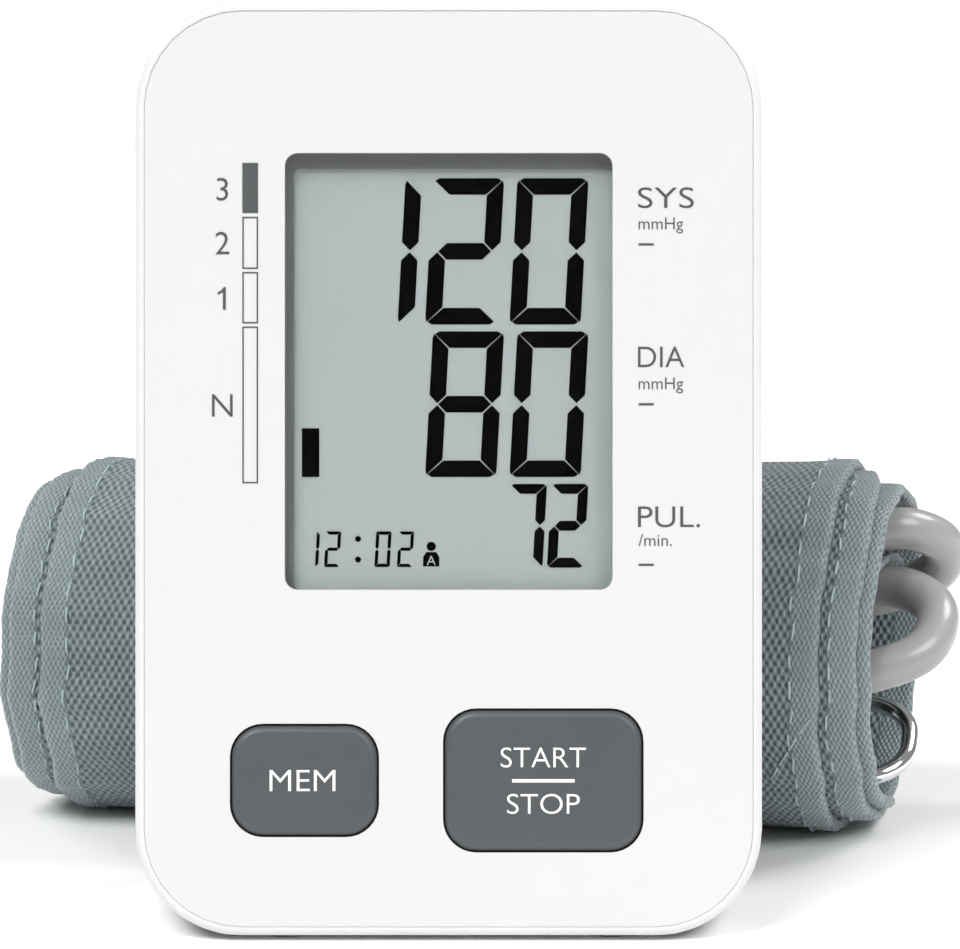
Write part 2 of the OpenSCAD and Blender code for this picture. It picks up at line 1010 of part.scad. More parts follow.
// Route with one more point midway along each stretch, on a smooth curve through its points
function smooth_route(p) =
    let (n = len(p))
    [for (i = [0:n - 2])
        each [
            p[i],
            (9 * (p[i] + p[i + 1]) - p[max(i - 1, 0)] - p[min(i + 2, n - 1)]) / 16
        ],
        p[n - 1]];

function directions(p) =
    let (n = len(p))
    [for (i = [0:n - 1])
        i == 0 ? unit(p[1] - p[0]) : i == n - 1 ? unit(p[n - 1] - p[n - 2]) : unit(p[i + 1] - p[i - 1])];

// Side vector at each ring, carried along the route so that the tube doesn't twist
function sides_along(t, i = 0, last = [0, 1, 0]) =
    i == len(t) ? [] : let (s = unit(last - (last * t[i]) * t[i])) concat([s], sides_along(t, i + 1, s));

module swept_tube(route, r, sides) {
    t = directions(route);
    s = sides_along(t);
    n = len(route);
    points = [
        for (i = [0:n - 1], k = [0:sides - 1])
            let (a = 360 * k / sides) route[i] + r * (cos(a) * s[i] + sin(a) * cross(t[i], s[i]))
    ];
    faces = [
        for (i = [0:n - 2], k = [0:sides - 1])
            let (a = i * sides + k, b = i * sides + (k + 1) % sides)
            [a, a + sides, b + sides, b]
    ];
    caps = [[for (k = [0:sides - 1]) k], [for (k = [sides - 1:-1:0]) (n - 1) * sides + k]];
    polyhedron(points = points, faces = concat(faces, caps));
}

module air_tube() {
    color("gray")
    in_roll()
    swept_tube(smooth_route(tube_route), tube_d / 2, tube_sides);
}

module air_plug() {
    color("gray")
    in_roll() {
        bar_x(plug_y, plug_z, plug_grip_r, plug_x - plug_grip_l, plug_x);
        bar_x(plug_y, plug_z, plug_nose_r, plug_x - plug_grip_l - plug_nose_l, plug_x - plug_grip_l + slip);
    }
}

front_casing();
rear_casing();
face_plate();
display_lens();
display_mask();
lcd_panel();
lcd_holder();
contact_strips();
circuit_board();
controller_chip();
buzzer();
keypad_mat();
mem_button();
start_button();
battery_cover();
batteries();
battery_contacts();
pump_motor();
motor_shaft();
pump_head();
pump_diaphragm();
exhaust_valve();
valve_plunger();
pressure_sensor();
air_hoses();
air_jack();
rubber_feet();
casing_screws();
board_screws();
cuff_cover();
cuff_flap();
air_bladder();
hook_tape();
loop_panel();
edge_binding();
d_ring_sleeve();
d_ring();
tube_port();
air_tube();
air_plug();
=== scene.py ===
import json
import math
import random

import bmesh
import bpy
from mathutils import Matrix, Vector, noise


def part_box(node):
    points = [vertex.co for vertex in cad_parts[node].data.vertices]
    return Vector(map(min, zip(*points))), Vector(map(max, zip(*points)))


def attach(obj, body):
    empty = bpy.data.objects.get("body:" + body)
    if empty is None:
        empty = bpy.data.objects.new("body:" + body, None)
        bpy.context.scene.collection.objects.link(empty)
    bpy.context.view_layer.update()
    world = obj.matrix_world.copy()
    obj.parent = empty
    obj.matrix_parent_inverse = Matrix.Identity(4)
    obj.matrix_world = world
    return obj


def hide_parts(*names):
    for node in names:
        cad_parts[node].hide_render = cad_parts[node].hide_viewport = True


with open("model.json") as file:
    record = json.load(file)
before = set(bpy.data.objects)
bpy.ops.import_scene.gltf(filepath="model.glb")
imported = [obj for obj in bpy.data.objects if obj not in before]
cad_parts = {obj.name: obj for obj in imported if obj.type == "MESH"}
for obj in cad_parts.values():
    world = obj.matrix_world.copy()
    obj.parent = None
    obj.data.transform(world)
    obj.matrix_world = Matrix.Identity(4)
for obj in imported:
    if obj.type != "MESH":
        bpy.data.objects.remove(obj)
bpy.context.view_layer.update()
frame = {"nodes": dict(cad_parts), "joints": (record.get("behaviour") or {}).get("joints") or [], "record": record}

MM = 0.001
Z_UP = Vector((0, 0, 1))
JOINTS = {joint["name"]: joint for joint in frame["joints"]}


# ---------------------------------------------------------------- frames

# Face frame, in mm: x across the monitor, y into it and z up its face, from its front lower edge.
DEPTH = Vector(JOINTS["mem_press"]["axis"]).normalized()
UP = Vector((0, -DEPTH.z, DEPTH.y))
ACROSS = Vector((1, 0, 0))
CASE_LOW, CASE_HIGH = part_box("front_casing")
FACE_ORIGIN = Vector(((CASE_LOW.x + CASE_HIGH.x) / 2, CASE_LOW.y, CASE_LOW.z))


def face(x, y, z):
    """Point given in the face frame."""
    return FACE_ORIGIN + (ACROSS * x + DEPTH * y + UP * z) * MM


def face_box(node):
    """A node's spans in the face frame: (x0, x1), (y0, y1), (z0, z1) in mm."""
    offsets = [v.co - FACE_ORIGIN for v in frame["nodes"][node].data.vertices]
    spans = []
    for axis in (ACROSS, DEPTH, UP):
        along = [p.dot(axis) / MM for p in offsets]
        spans.append((min(along), max(along)))
    return spans


# Roll frame, in mm: x along the rolled cuff, y away from the monitor and z up, from the roll's axis.
RING_BAR = (-3, -20.9)
ROLL_AXIS = Vector(JOINTS["ring_swing"]["axis"]).normalized()
ROLL_BACK = Vector((-ROLL_AXIS.y, ROLL_AXIS.x, 0))
RING_PIVOT = Vector(JOINTS["ring_swing"]["pos_m"])
ROLL_ORIGIN = RING_PIVOT - (ROLL_BACK * RING_BAR[0] + Z_UP * RING_BAR[1]) * MM


def roll(x, y, z):
    """Point given in the roll frame."""
    return ROLL_ORIGIN + (ROLL_AXIS * x + ROLL_BACK * y + Z_UP * z) * MM


def linked(obj):
    """Puts a new object into the scene."""
    bpy.context.scene.collection.objects.link(obj)
    return obj


# ---------------------------------------------------------------- camera

VIEW_POINT = (5, 0, 73.6)
VIEW_DISTANCE = 1200
VIEW_WIDTH = 153.1
SENSOR = 36
NEAR_CLIP = 0.05
FAR_CLIP = 20


def add_camera():
    data = bpy.data.cameras.new("camera")
    data.sensor_width = SENSOR
    data.lens = SENSOR * VIEW_DISTANCE / VIEW_WIDTH
    data.clip_start = NEAR_CLIP
    data.clip_end = FAR_CLIP
    camera = linked(bpy.data.objects.new("camera", data))
    turn = Matrix((ACROSS, UP, -DEPTH)).transposed().to_4x4()
    place = face(*VIEW_POINT) - DEPTH * VIEW_DISTANCE * MM
    camera.matrix_world = Matrix.Translation(place) @ turn
    bpy.context.scene.camera = camera


add_camera()


# ---------------------------------------------------------------- cord route

# Roll frame: from the cuff's port, out to the two loops at the right end, and back to the plug.
TUBE_D = 7.2
TUBE_ROUTE = [
    (-50, 0, 20), (-40, 0, 20), (-10, 0, 20.5), (30, 0, 21), (58, 0, 21), (68, 1, 21), (75, 3, 21),
    (80, 8.5, 17.5), (78.5, 14.5, 11.5), (69, 18.5, 6.5), (56, 19, 4.5), (30, 18.5, 4), (0, 18, 4),
    (-26, 18, 4), (-40, 17.5, 4), (-49, 14, 4.5), (-53, 6, 5), (-49, -2, 6), (-40, -6, 7), (-26, -6.5, 7),
    (0, -4, 7), (30, 1, 7.5), (56, 4, 9), (68, 4, 11), (76.5, 0.5, 10.5), (80.5, -6, 8), (78.5, -13, 3.5),
    (70, -17, 0.5), (58, -17.5, -1.5), (30, -17.5, -3), (0, -17.5, -4), (-28, -16.5, -5), (-38, -16.5, -5),
]
TUBE_STEPS = 8
TUBE_ROUNDNESS = 8


def smooth_line(points, steps):
    """Catmull-Rom curve through the points, ending on the first and the last."""
    points = [Vector(p) for p in points]
    line = []
    for i in range(len(points) - 1):
        a = points[max(i - 1, 0)]
        b, c = points[i], points[i + 1]
        d = points[min(i + 2, len(points) - 1)]
        for k in range(steps):
            t = k / steps
            line.append(
                0.5 * (2 * b + (c - a) * t + (2 * a - 5 * b + 4 * c - d) * t * t
                       + (3 * b - a - 3 * c + d) * t ** 3)
            )
    line.append(points[-1])
    return line


TUBE_LINE = smooth_line(TUBE_ROUTE, TUBE_STEPS)


# ---------------------------------------------------------------- node helpers

class Look:
    """A material under construction: its nodes, links and shader."""

    def __init__(self, name, color, roughness, metallic=0.0):
        self.material = bpy.data.materials.new(name)
        self.material.use_nodes = True
        self.nodes = self.material.node_tree.nodes
        self.links = self.material.node_tree.links
        self.shader = self.nodes["Principled BSDF"]
        self.shader.inputs["Base Color"].default_value = (*color, 1)
        self.shader.inputs["Roughness"].default_value = roughness
        self.shader.inputs["Metallic"].default_value = metallic
        self.color = color
        self.roughness = roughness

    def node(self, kind, **settings):
        made = self.nodes.new(kind)
        for key, value in settings.items():
            setattr(made, key, value)
        return made

    def set(self, name, value):
        self.shader.inputs[name].default_value = value

    def coords(self, kind="Object", scale=(1, 1, 1)):
        mapping = self.node("ShaderNodeMapping")
        mapping.inputs["Scale"].default_value = scale
        source = self.node("ShaderNodeTexCoord")
        self.links.new(source.outputs[kind], mapping.inputs["Vector"])
        return mapping.outputs["Vector"]

    def noise(self, scale, detail=3, coords=None):
        made = self.node("ShaderNodeTexNoise")
        made.inputs["Scale"].default_value = scale
        made.inputs["Detail"].default_value = detail
        self.links.new(coords or self.coords(), made.inputs["Vector"])
        return made.outputs["Fac"]

    def ramp(self, source, stops):
        made = self.node("ShaderNodeValToRGB")
        ramp = made.color_ramp
        while len(ramp.elements) < len(stops):
            ramp.elements.new(0.5)
        for element, (position, color) in zip(ramp.elements, stops):
            element.position = position
            element.color = (*color, 1)
        self.links.new(source, made.inputs["Fac"])
        return made.outputs["Color"]

    def math(self, operation, a, b):
        made = self.node("ShaderNodeMath", operation=operation)
        for socket, value in zip(made.inputs, (a, b)):
            if isinstance(value, (int, float)):
                socket.default_value = value
            else:
                self.links.new(value, socket)
        return made.outputs["Value"]

    def color_from(self, source):
        self.links.new(source, self.shader.inputs["Base Color"])

    def vary_color(self, source, amount):
        dark = tuple(c * (1 - amount) for c in self.color)
        light = tuple(min(1, c * (1 + amount)) for c in self.color)
        self.color_from(self.ramp(source, [(0.15, dark), (0.85, light)]))

    def vary_roughness(self, source, amount):
        spread = self.node("ShaderNodeMapRange")
        spread.inputs["To Min"].default_value = max(0.02, self.roughness - amount)
        spread.inputs["To Max"].default_value = min(1, self.roughness + amount)
        self.links.new(source, spread.inputs["Value"])
        self.links.new(spread.outputs["Result"], self.shader.inputs["Roughness"])

    def bump(self, source, distance):
        made = self.node("ShaderNodeBump")
        made.inputs["Strength"].default_value = 1
        made.inputs["Distance"].default_value = distance
        self.links.new(source, made.inputs["Height"])
        self.links.new(made.outputs["Normal"], self.shader.inputs["Normal"])


def moulded(name, color, roughness, grain=2600, relief=0.00002, amount=0.03, coat=0.0):
    """Moulded plastic or rubber: fine spark grain, faint colour drift and uneven gloss."""
    look = Look(name, color, roughness)
    look.vary_color(look.noise(60, 4), amount)
    look.vary_roughness(look.noise(240, 3), 0.06)
    look.bump(look.noise(grain, 2), relief)
    look.set("Coat Weight", coat)
    return look.material


def metal(name, color, roughness, brush=(30, 900, 900)):
    """Drawn or plated metal: fine streaks and slightly uneven gloss."""
    look = Look(name, color, roughness, metallic=1.0)
    streaks = look.noise(1, 4, look.coords(scale=brush))
    look.vary_color(streaks, 0.06)
    look.vary_roughness(streaks, 0.08)
    look.bump(look.noise(900, 2), 0.000004)
    return look.material


def clear_plastic():
    look = Look("clear_lens_look", (1, 1, 1), 0.04)
    look.set("Transmission Weight", 1.0)
    look.set("IOR", 1.12)
    look.vary_roughness(look.noise(90, 2), 0.02)
    return look.material


def lcd_film():
    """Grey-green LCD film: faint mottling and a fine grain."""
    look = Look("lcd_look", (0.435, 0.485, 0.476), 0.35)
    look.vary_color(look.noise(35, 2), 0.015)
    look.bump(look.noise(1800, 1), 0.000006)
    look.set("Specular IOR Level", 0.2)
    return look.material


def cell_sleeve():
    """Printed battery sleeve: a dark, faintly mottled body; the copper band at its stud end is a piece of its own.
    """
    look = Look("cell_look", (0.02, 0.02, 0.022), 0.25, metallic=0.3)
    look.vary_color(look.noise(150, 3), 0.2)
    look.vary_roughness(look.noise(400, 2), 0.08)
    look.bump(look.noise(700, 2), 0.000008)
    return look.material


def board_mask():
    """Solder mask: green with darker traces in a grid of fine lines."""
    look = Look("board_look", (0.02, 0.16, 0.06), 0.3)
    coords = look.coords(scale=(420, 420, 420))
    traces = look.node("ShaderNodeTexBrick")
    traces.inputs["Scale"].default_value = 1
    traces.inputs["Mortar Size"].default_value = 0.06
    traces.inputs["Color1"].default_value = (0.015, 0.14, 0.05, 1)
    traces.inputs["Color2"].default_value = (0.02, 0.18, 0.07, 1)
    traces.inputs["Mortar"].default_value = (0.04, 0.28, 0.11, 1)
    look.links.new(coords, traces.inputs["Vector"])
    look.color_from(traces.outputs["Color"])
    look.bump(traces.outputs["Fac"], 0.00002)
    return look.material


def woven(name, dark, light, pitch_along, pitch_across, relief, sheen=0.25, roughness=0.6):
    """Basket weave in the strip's own millimetres: staggered soft yarn crossings, slightly uneven, with painted
    shade darkening the hollows between them.
    """
    look = Look(name, light, roughness)
    coords = look.coords("UV")
    wander = look.node("ShaderNodeTexNoise")
    wander.inputs["Scale"].default_value = 0.6
    look.links.new(coords, wander.inputs["Vector"])
    split = look.node("ShaderNodeSeparateXYZ")
    look.links.new(coords, split.inputs["Vector"])
    drift = look.math("MULTIPLY", wander.outputs["Fac"], 0.5)
    waves = []
    for axis, pitch in (("X", pitch_along), ("Y", pitch_across)):
        place = look.math("ADD", split.outputs[axis], drift)
        waves.append(look.math("SINE", look.math("MULTIPLY", place, math.pi / pitch), 0))
    crossing = look.math("MULTIPLY", *waves)
    yarn = look.noise(2600, 2)
    height = look.math("ADD", crossing, look.math("MULTIPLY", yarn, 0.5))
    hollow_shade_height = look.math("MULTIPLY", look.math("ADD", height, 1.0), 0.4)
    middle = tuple(0.5 * (p + q) for p, q in zip(dark, light))
    # Colour follows the weave's height: painted shade in the hollows, the yarn's own colour on the raised
    # crossings.
    base = look.ramp(hollow_shade_height, [(0.12, dark), (0.5, middle), (0.85, light)])
    broad = look.noise(28, 3)
    shade = look.ramp(broad, [(0.3, (0.7, 0.7, 0.7)), (0.7, (1.0, 1.0, 1.0))])
    tint = look.node("ShaderNodeMix", data_type="RGBA", blend_type="MULTIPLY")
    tint.inputs["Factor"].default_value = 1
    look.links.new(base, tint.inputs[6])
    look.links.new(shade, tint.inputs[7])
    look.color_from(tint.outputs[2])
    look.bump(height, relief)
    look.vary_roughness(look.noise(120, 3), 0.08)
    look.set("Sheen Weight", sheen)
    look.set("Sheen Roughness", 0.4)
    return look.material


def printed(name, color, shine=0.4):
    look = Look(name, color, 0.55)
    look.set("Specular IOR Level", shine)
    look.vary_color(look.noise(300, 3), 0.08)
    look.bump(look.noise(2400, 2), 0.000006)
    return look.material


LOOKS = {
    "white_plastic": moulded("white_plastic_look", (0.72, 0.72, 0.725), 0.52, coat=0.04),
    "face_film": moulded("face_film_look", (0.69, 0.69, 0.695), 0.45, grain=3400, relief=0.00001, amount=0.01),
    "clear_lens": clear_plastic(),
    # This look also colours the mask behind the display window: its wider band at the window's top and left is a
    # dark sheet set where the recess casts its shadow, painted shade.
    "dark_plastic": moulded("dark_plastic_and_recess_shade_look", (0.17, 0.178, 0.18), 0.5),
    "lcd_glass": lcd_film(),
    "button_plastic": moulded("button_look", (0.079, 0.087, 0.092), 0.4, grain=3000, relief=0.000015),
    "grey_rubber": moulded("grey_rubber_look", (0.2, 0.205, 0.21), 0.75, grain=1800, relief=0.00004),
    "board_green": board_mask(),
    "chip_black": moulded("chip_look", (0.02, 0.02, 0.022), 0.55),
    "cell_wrap": cell_sleeve(),
    "spring_steel": metal("spring_steel_look", (0.66, 0.65, 0.62), 0.28),
    "motor_steel": metal("motor_steel_look", (0.55, 0.56, 0.58), 0.34),
    "silicone": moulded("silicone_look", (0.62, 0.62, 0.58), 0.5, relief=0.00001),
    # In each weave below, the first colour is painted shade for the hollows between yarns, and the second is the
    # yarn's own colour.
    "cuff_cloth": woven("cuff_cloth_look", (0.075, 0.097, 0.103), (0.35, 0.43, 0.445), 1.1, 0.66, 0.0002),
    "cuff_trim": woven(
        "cuff_trim_look", (0.145, 0.185, 0.193), (0.34, 0.42, 0.435), 0.8, 0.42, 0.00008, sheen=0.4, roughness=0.42
    ),
    "bladder_film": moulded("bladder_look", (0.1, 0.11, 0.12), 0.4),
    "tape_cloth": woven("tape_look", (0.05, 0.075, 0.08), (0.17, 0.22, 0.23), 0.5, 0.5, 0.0001),
    "chrome_wire": metal("chrome_look", (0.82, 0.83, 0.84), 0.08, brush=(20, 300, 300)),
    "tube_pvc": moulded("tube_look", (0.35, 0.346, 0.346), 0.32, grain=1400, relief=0.000006, coat=0.35),
    "jack_plastic": moulded("jack_look", (0.27, 0.275, 0.28), 0.45),
}
# Rear half and battery cover: a greyer copy of the white plastic, part two-tone design and part painted shade that
# holds down the strong light on the monitor's top.
REAR_SHADED_PLASTIC = moulded("rear_plastic_shaded_look", (0.59, 0.592, 0.6), 0.55)
PRINT_GREY = printed("print_grey_look", (0.075, 0.082, 0.085))
PRINT_WHITE = printed("print_white_look", (0.9, 0.9, 0.9))
PRINT_BLACK = printed("lcd_segment_look", (0.003, 0.003, 0.003), 0.0)
LCD_LIGHT = printed("lcd_gap_look", (0.435, 0.485, 0.476), 0.0)
THREAD = printed("thread_look", (0.4, 0.5, 0.515))
COPPER = metal("copper_look", (0.62, 0.33, 0.17), 0.3)


def dress_nodes():
    """Gives every CAD node the material of its slot, except the battery cover, which takes the greyer rear
    plastic, partly painted shade.
    """
    for part in frame["record"]["subparts"]:
        obj = frame["nodes"][part["node"]]
        obj.data.materials.clear()
        cover = part["node"] == "battery_cover"
        obj.data.materials.append(REAR_SHADED_PLASTIC if cover else LOOKS[part["material_slot"]])


dress_nodes()


# ---------------------------------------------------------------- mesh helpers

CAD_WELD = 2e-6
LETTER_WELD = 1e-7
FLAT_ANGLE = 0.4


def edited(mesh, change):
    """Runs one change on a mesh."""
    edit = bmesh.new()
    edit.from_mesh(mesh)
    change(edit)
    edit.to_mesh(mesh)
    edit.free()


def face_outward(edit):
    bmesh.ops.recalc_face_normals(edit, faces=edit.faces)


def weld(distance):
    """The change that joins vertices closer than the distance."""
    return lambda edit: bmesh.ops.remove_doubles(edit, verts=edit.verts, dist=distance)


def join_flats(edit):
    """Joins triangles that lie in one plane, so that long slivers don't pull the shading."""
    bmesh.ops.dissolve_limit(edit, angle_limit=math.radians(FLAT_ANGLE), verts=edit.verts, edges=edit.edges)


def finish_mesh(obj, angle=32):
    """Smooth shading that keeps edges sharper than the angle."""
    for polygon in obj.data.polygons:
        polygon.use_smooth = True
    obj.data.set_sharp_from_angle(angle=math.radians(angle))
    return obj


def add_object(name, mesh, body, look):
    obj = linked(bpy.data.objects.new(name, mesh))
    mesh.materials.append(look)
    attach(obj, body)
    return obj


def mesh_piece(name, points, faces, body, look, angle=32):
    mesh = bpy.data.meshes.new(name)
    mesh.from_pydata([tuple(p) for p in points], [], faces)
    obj = add_object(name, mesh, body, look)
    edited(mesh, face_outward)
    return finish_mesh(obj, angle)


def loft_faces(rings, count, closed=False, first=0):
    """Quads between rings of count points, with an end face at each end unless the rings close up."""
    faces = []
    for i in range(rings if closed else rings - 1):
        for k in range(count):
            a = first + i * count
            b = first + ((i + 1) % rings) * count
            n = (k + 1) % count
            faces.append((a + k, a + n, b + n, b + k))
    if not closed:
        faces.append(tuple(first + k for k in range(count)))
        faces.append(tuple(first + (rings - 1) * count + k for k in range(count)))
    return faces


def rounded_ring(x0, x1, z0, z1, r, steps=10):
    """Points round a rectangle with round corners."""
    ring = []
    for cx, cz, start in ((x1 - r, z1 - r, 0), (x0 + r, z1 - r, 90), (x0 + r, z0 + r, 180), (x1 - r, z0 + r, 270)):
        for i in range(steps + 1):
            a = math.radians(start + 90 * i / steps)
            ring.append((cx + r * math.cos(a), cz + r * math.sin(a)))
    return ring


def keep_inside(obj, form):
    """Keeps what lies inside the form, and removes the form."""
    modifier = obj.modifiers.new("cut", "BOOLEAN")
    modifier.operation = "INTERSECT"
    modifier.solver = "EXACT"
    modifier.object = form
    graph = bpy.context.evaluated_depsgraph_get()
    result = bpy.data.meshes.new_from_object(obj.evaluated_get(graph))
    obj.modifiers.clear()
    obj.data = result
    bpy.data.objects.remove(form)


def node_copy(node, name, body, look):
    """A new piece from a CAD node's mesh, with its doubled corners joined."""
    mesh = frame["nodes"][node].data.copy()
    mesh.name = name
    mesh.materials.clear()
    edited(mesh, weld(CAD_WELD))
    return add_object(name, mesh, body, look)


# ---------------------------------------------------------------- casings

(BODY_X0, BODY_X1), (_, SEAM_Y), (_, BODY_Z1) = face_box("front_casing")
BODY_R = 17
HULL_PLAY = 0.02
RIM_ROUND = 1.2
REAR_ROUND = 4.5
ROUND_STEPS = 7
REAR_LOW_Y = 44
REAR_TOP_Y = 35
SEAM_OVERLAP = 2
CASING_SMOOTH = 25
REAR_LOW_Z = REAR_LOW_Y * -DEPTH.z / DEPTH.y
REAR_SLOPE = (REAR_TOP_Y - REAR_LOW_Y) / (BODY_Z1 - REAR_LOW_Z)


def rear_depth(z):
    """Depth of the sloping rear wall at a height on the face."""
    return REAR_LOW_Y + REAR_SLOPE * (z - REAR_LOW_Z)


def casing_form(front):
    """Closed form with the body's outline and one rounded edge: the front rim's or the rear wall's."""
    radius = RIM_ROUND if front else REAR_ROUND
    rings = []
    for i in range(ROUND_STEPS + 1):
        a = math.radians(90 * i / ROUND_STEPS)
        inset = radius * (1 - math.cos(a)) - HULL_PLAY
        rise = radius * (1 - math.sin(a))
        outline = rounded_ring(BODY_X0 + inset, BODY_X1 - inset, inset, BODY_Z1 - inset, BODY_R - inset)
        for x, z in outline:
            rings.append(face(x, rise - HULL_PLAY if front else rear_depth(z) - rise + HULL_PLAY, z))
    outline = rounded_ring(
        BODY_X0 - HULL_PLAY, BODY_X1 + HULL_PLAY, -HULL_PLAY, BODY_Z1 + HULL_PLAY, BODY_R
    )
    start = [face(x, SEAM_Y + SEAM_OVERLAP if front else SEAM_Y - SEAM_OVERLAP, z) for x, z in outline]
    points = start + rings
    mesh = bpy.data.meshes.new("form")
    mesh.from_pydata([tuple(p) for p in points], [], loft_faces(ROUND_STEPS + 2, len(outline)))
    edited(mesh, face_outward)
    return linked(bpy.data.objects.new("form", mesh))


def make_casings():
    """Both halves of the casing, with their rims rounded by cutting the CAD meshes to a form."""
    for node, name, front in (("front_casing", "front_shell", True), ("rear_casing", "rear_shell", False)):
        # The rear shell takes the greyer rear plastic, partly painted shade.
        look = LOOKS["white_plastic"] if front else REAR_SHADED_PLASTIC
        shell = node_copy(node, name, "monitor", look)
        keep_inside(shell, casing_form(front))
        edited(shell.data, join_flats)
        finish_mesh(shell, CASING_SMOOTH)
        weigh = shell.modifiers.new("flats", "WEIGHTED_NORMAL")
        weigh.keep_sharp = True
        weigh.weight = 100
        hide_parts(node)


make_casings()


# ---------------------------------------------------------------- buttons

CAP_EDGE = 1.3
CAP_CROWN = 0.25
BUTTON_R = 5
FLANGE = 1.4
FLANGE_Y = (3.05, 4.0)
EDGE_STEPS = 8
CROWN_STEPS = 7
CROWN_END = 0.6
LEAST_R = 0.3
POST_R = 3
POST_SIDES = 24
POST_SINK = 0.1


def make_button(node, name, body):
    """Key cap with a rolled edge and a slightly crowned top, on its flange and post."""
    (x0, x1), (y0, y1), (z0, z1) = face_box(node)
    x0, x1, z0, z1 = x0 + FLANGE, x1 - FLANGE, z0 + FLANGE, z1 - FLANGE
    sections = [(-FLANGE, FLANGE_Y[1]), (-FLANGE, FLANGE_Y[0]), (0, FLANGE_Y[0])]
    for i in range(EDGE_STEPS + 1):
        a = math.radians(90 * i / EDGE_STEPS)
        sections.append((CAP_EDGE * (1 - math.cos(a)), y0 + CAP_CROWN + CAP_EDGE * (1 - math.sin(a))))
    half = min(x1 - x0, z1 - z0) / 2
    for i in range(1, CROWN_STEPS):
        t = i / CROWN_STEPS
        inset = CAP_EDGE + (half - CAP_EDGE - CROWN_END) * t
        sections.append((inset, y0 + CAP_CROWN * (1 - t) ** 2))
    points = []
    for inset, y in sections:
        ring = rounded_ring(x0 + inset, x1 - inset, z0 + inset, z1 - inset, max(BUTTON_R - inset, LEAST_R))
        points += [face(x, y, z) for x, z in ring]
    count = len(ring)
    faces = loft_faces(len(sections), count)
    middle = ((x0 + x1) / 2, (z0 + z1) / 2)
    base = len(points)
    for y in (FLANGE_Y[1] - POST_SINK, y1):
        for k in range(POST_SIDES):
            a = 2 * math.pi * k / POST_SIDES
            points.append(face(middle[0] + POST_R * math.cos(a), y, middle[1] + POST_R * math.sin(a)))
    faces += loft_faces(2, POST_SIDES, first=base)
    obj = mesh_piece(name, points, faces, body, LOOKS["button_plastic"])
    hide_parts(node)
    return middle


MEM_MIDDLE = make_button("mem_button", "mem_key_cap", "mem_key")
START_MIDDLE = make_button("start_button", "start_key_cap", "start_key")
BUTTON_TOP = face_box("mem_button")[1][0]


# ---------------------------------------------------------------- print

PRINT_LIFT = 0.02
PRINT_T = 0.05
LETTER_DEPTH = 0.02
LETTER_THINNING = -0.007
LETTER_STEPS = 6


def flat_print(name, shapes, y, body, look):
    """Raised print: each shape is an outline of (x, z) points on the face."""
    points, faces = [], []
    for outline in shapes:
        first = len(points)
        for depth in (y, y - PRINT_T):
            points += [face(x, depth, z) for x, z in outline]
        faces += loft_faces(2, len(outline), first=first)
    return mesh_piece(name, points, faces, body, look)


def text_print(name, words, x, z, cap, y, body, look, slot, align="CENTER", width=None):
    """Letters of a given capital height, centred on or starting at x, with z at their base line."""
    data = bpy.data.curves.new(name, "FONT")
    data.body = words
    data.align_x = "LEFT"
    data.size = 1
    data.extrude = LETTER_DEPTH
    data.offset = LETTER_THINNING
    data.resolution_u = LETTER_STEPS
    source = linked(bpy.data.objects.new(name + "_source", data))
    graph = bpy.context.evaluated_depsgraph_get()
    mesh = bpy.data.meshes.new_from_object(source.evaluated_get(graph))
    bpy.data.objects.remove(source)
    probe = [v.co.copy() for v in mesh.vertices]
    x_low, x_high = min(p.x for p in probe), max(p.x for p in probe)
    high = max(p.y for p in probe)
    up = cap / high
    along = width / (x_high - x_low) if width else up
    start = x - (x_high - x_low) * along / 2 if align == "CENTER" else x
    for vertex, p in zip(mesh.vertices, probe):
        vertex.co = face(
            start + (p.x - x_low) * along, y - PRINT_T / 2 - p.z / LETTER_DEPTH * PRINT_T / 2, z + p.y * up
        )
    mesh.materials.clear()
    edited(mesh, weld(LETTER_WELD))
    edited(mesh, face_outward)
    return add_object(name, mesh, body, look)


def box_outline(x0, x1, z0, z1):
    return [(x0, z0), (x1, z0), (x1, z1), (x0, z1)]


def frame_outlines(x0, x1, z0, z1, t):
    """Four strips that draw an empty box."""
    return [
        box_outline(x0, x1, z0, z0 + t), box_outline(x0, x1, z1 - t, z1),
        box_outline(x0, x0 + t, z0 + t, z1 - t), box_outline(x1 - t, x1, z0 + t, z1 - t),
    ]


PLATE_Y = face_box("face_plate")[1][0] - PRINT_LIFT
KEY_Y = BUTTON_TOP - PRINT_LIFT
SCALE_X = (-32.9, -30.4)
SCALE_LINE = 0.22
SCALE_LABEL_X = -36.1
# Each empty box of the scale: its label, foot, top, and the label's middle.
SCALE_BOXES = [("2", 106.4, 114.7, 110.5), ("1", 97.7, 105.9, 101.7), ("N", 72.2, 97.2, 84.6)]
SCALE_FULL = (115.3, 123.3)
SCALE_FULL_LABEL = ("3", 119.1)
SCALE_CAP = 3.6
FIGURE_ONE = [(0.55, 0), (0.55, 3.6), (0.25, 3.6), (-0.15, 3.1), (-0.75, 2.75), (-0.75, 2.35), (0.1, 2.75),
              (0.1, 0)]
# Each row: label, unit, their widths, the foot of each, and the height of the dash.
SIDE_LABELS = [
    ("SYS", "mmHg", 8.9, 7.1, 116.1, 113.2, 110.3), ("DIA", "mmHg", 7.4, 7.1, 90.7, 87.7, 84.8),
    ("PUL.", "/min.", 9.9, 5.3, 65.2, 62.2, 59.2),
]
SIDE_X = 30.2
SIDE_CAP = 3.3
UNIT_CAP = 1.9
UNIT_INDENT = 0.1
UNIT_TAIL = 0.5
DASH_END = 2.5
DASH_HALF = 0.18


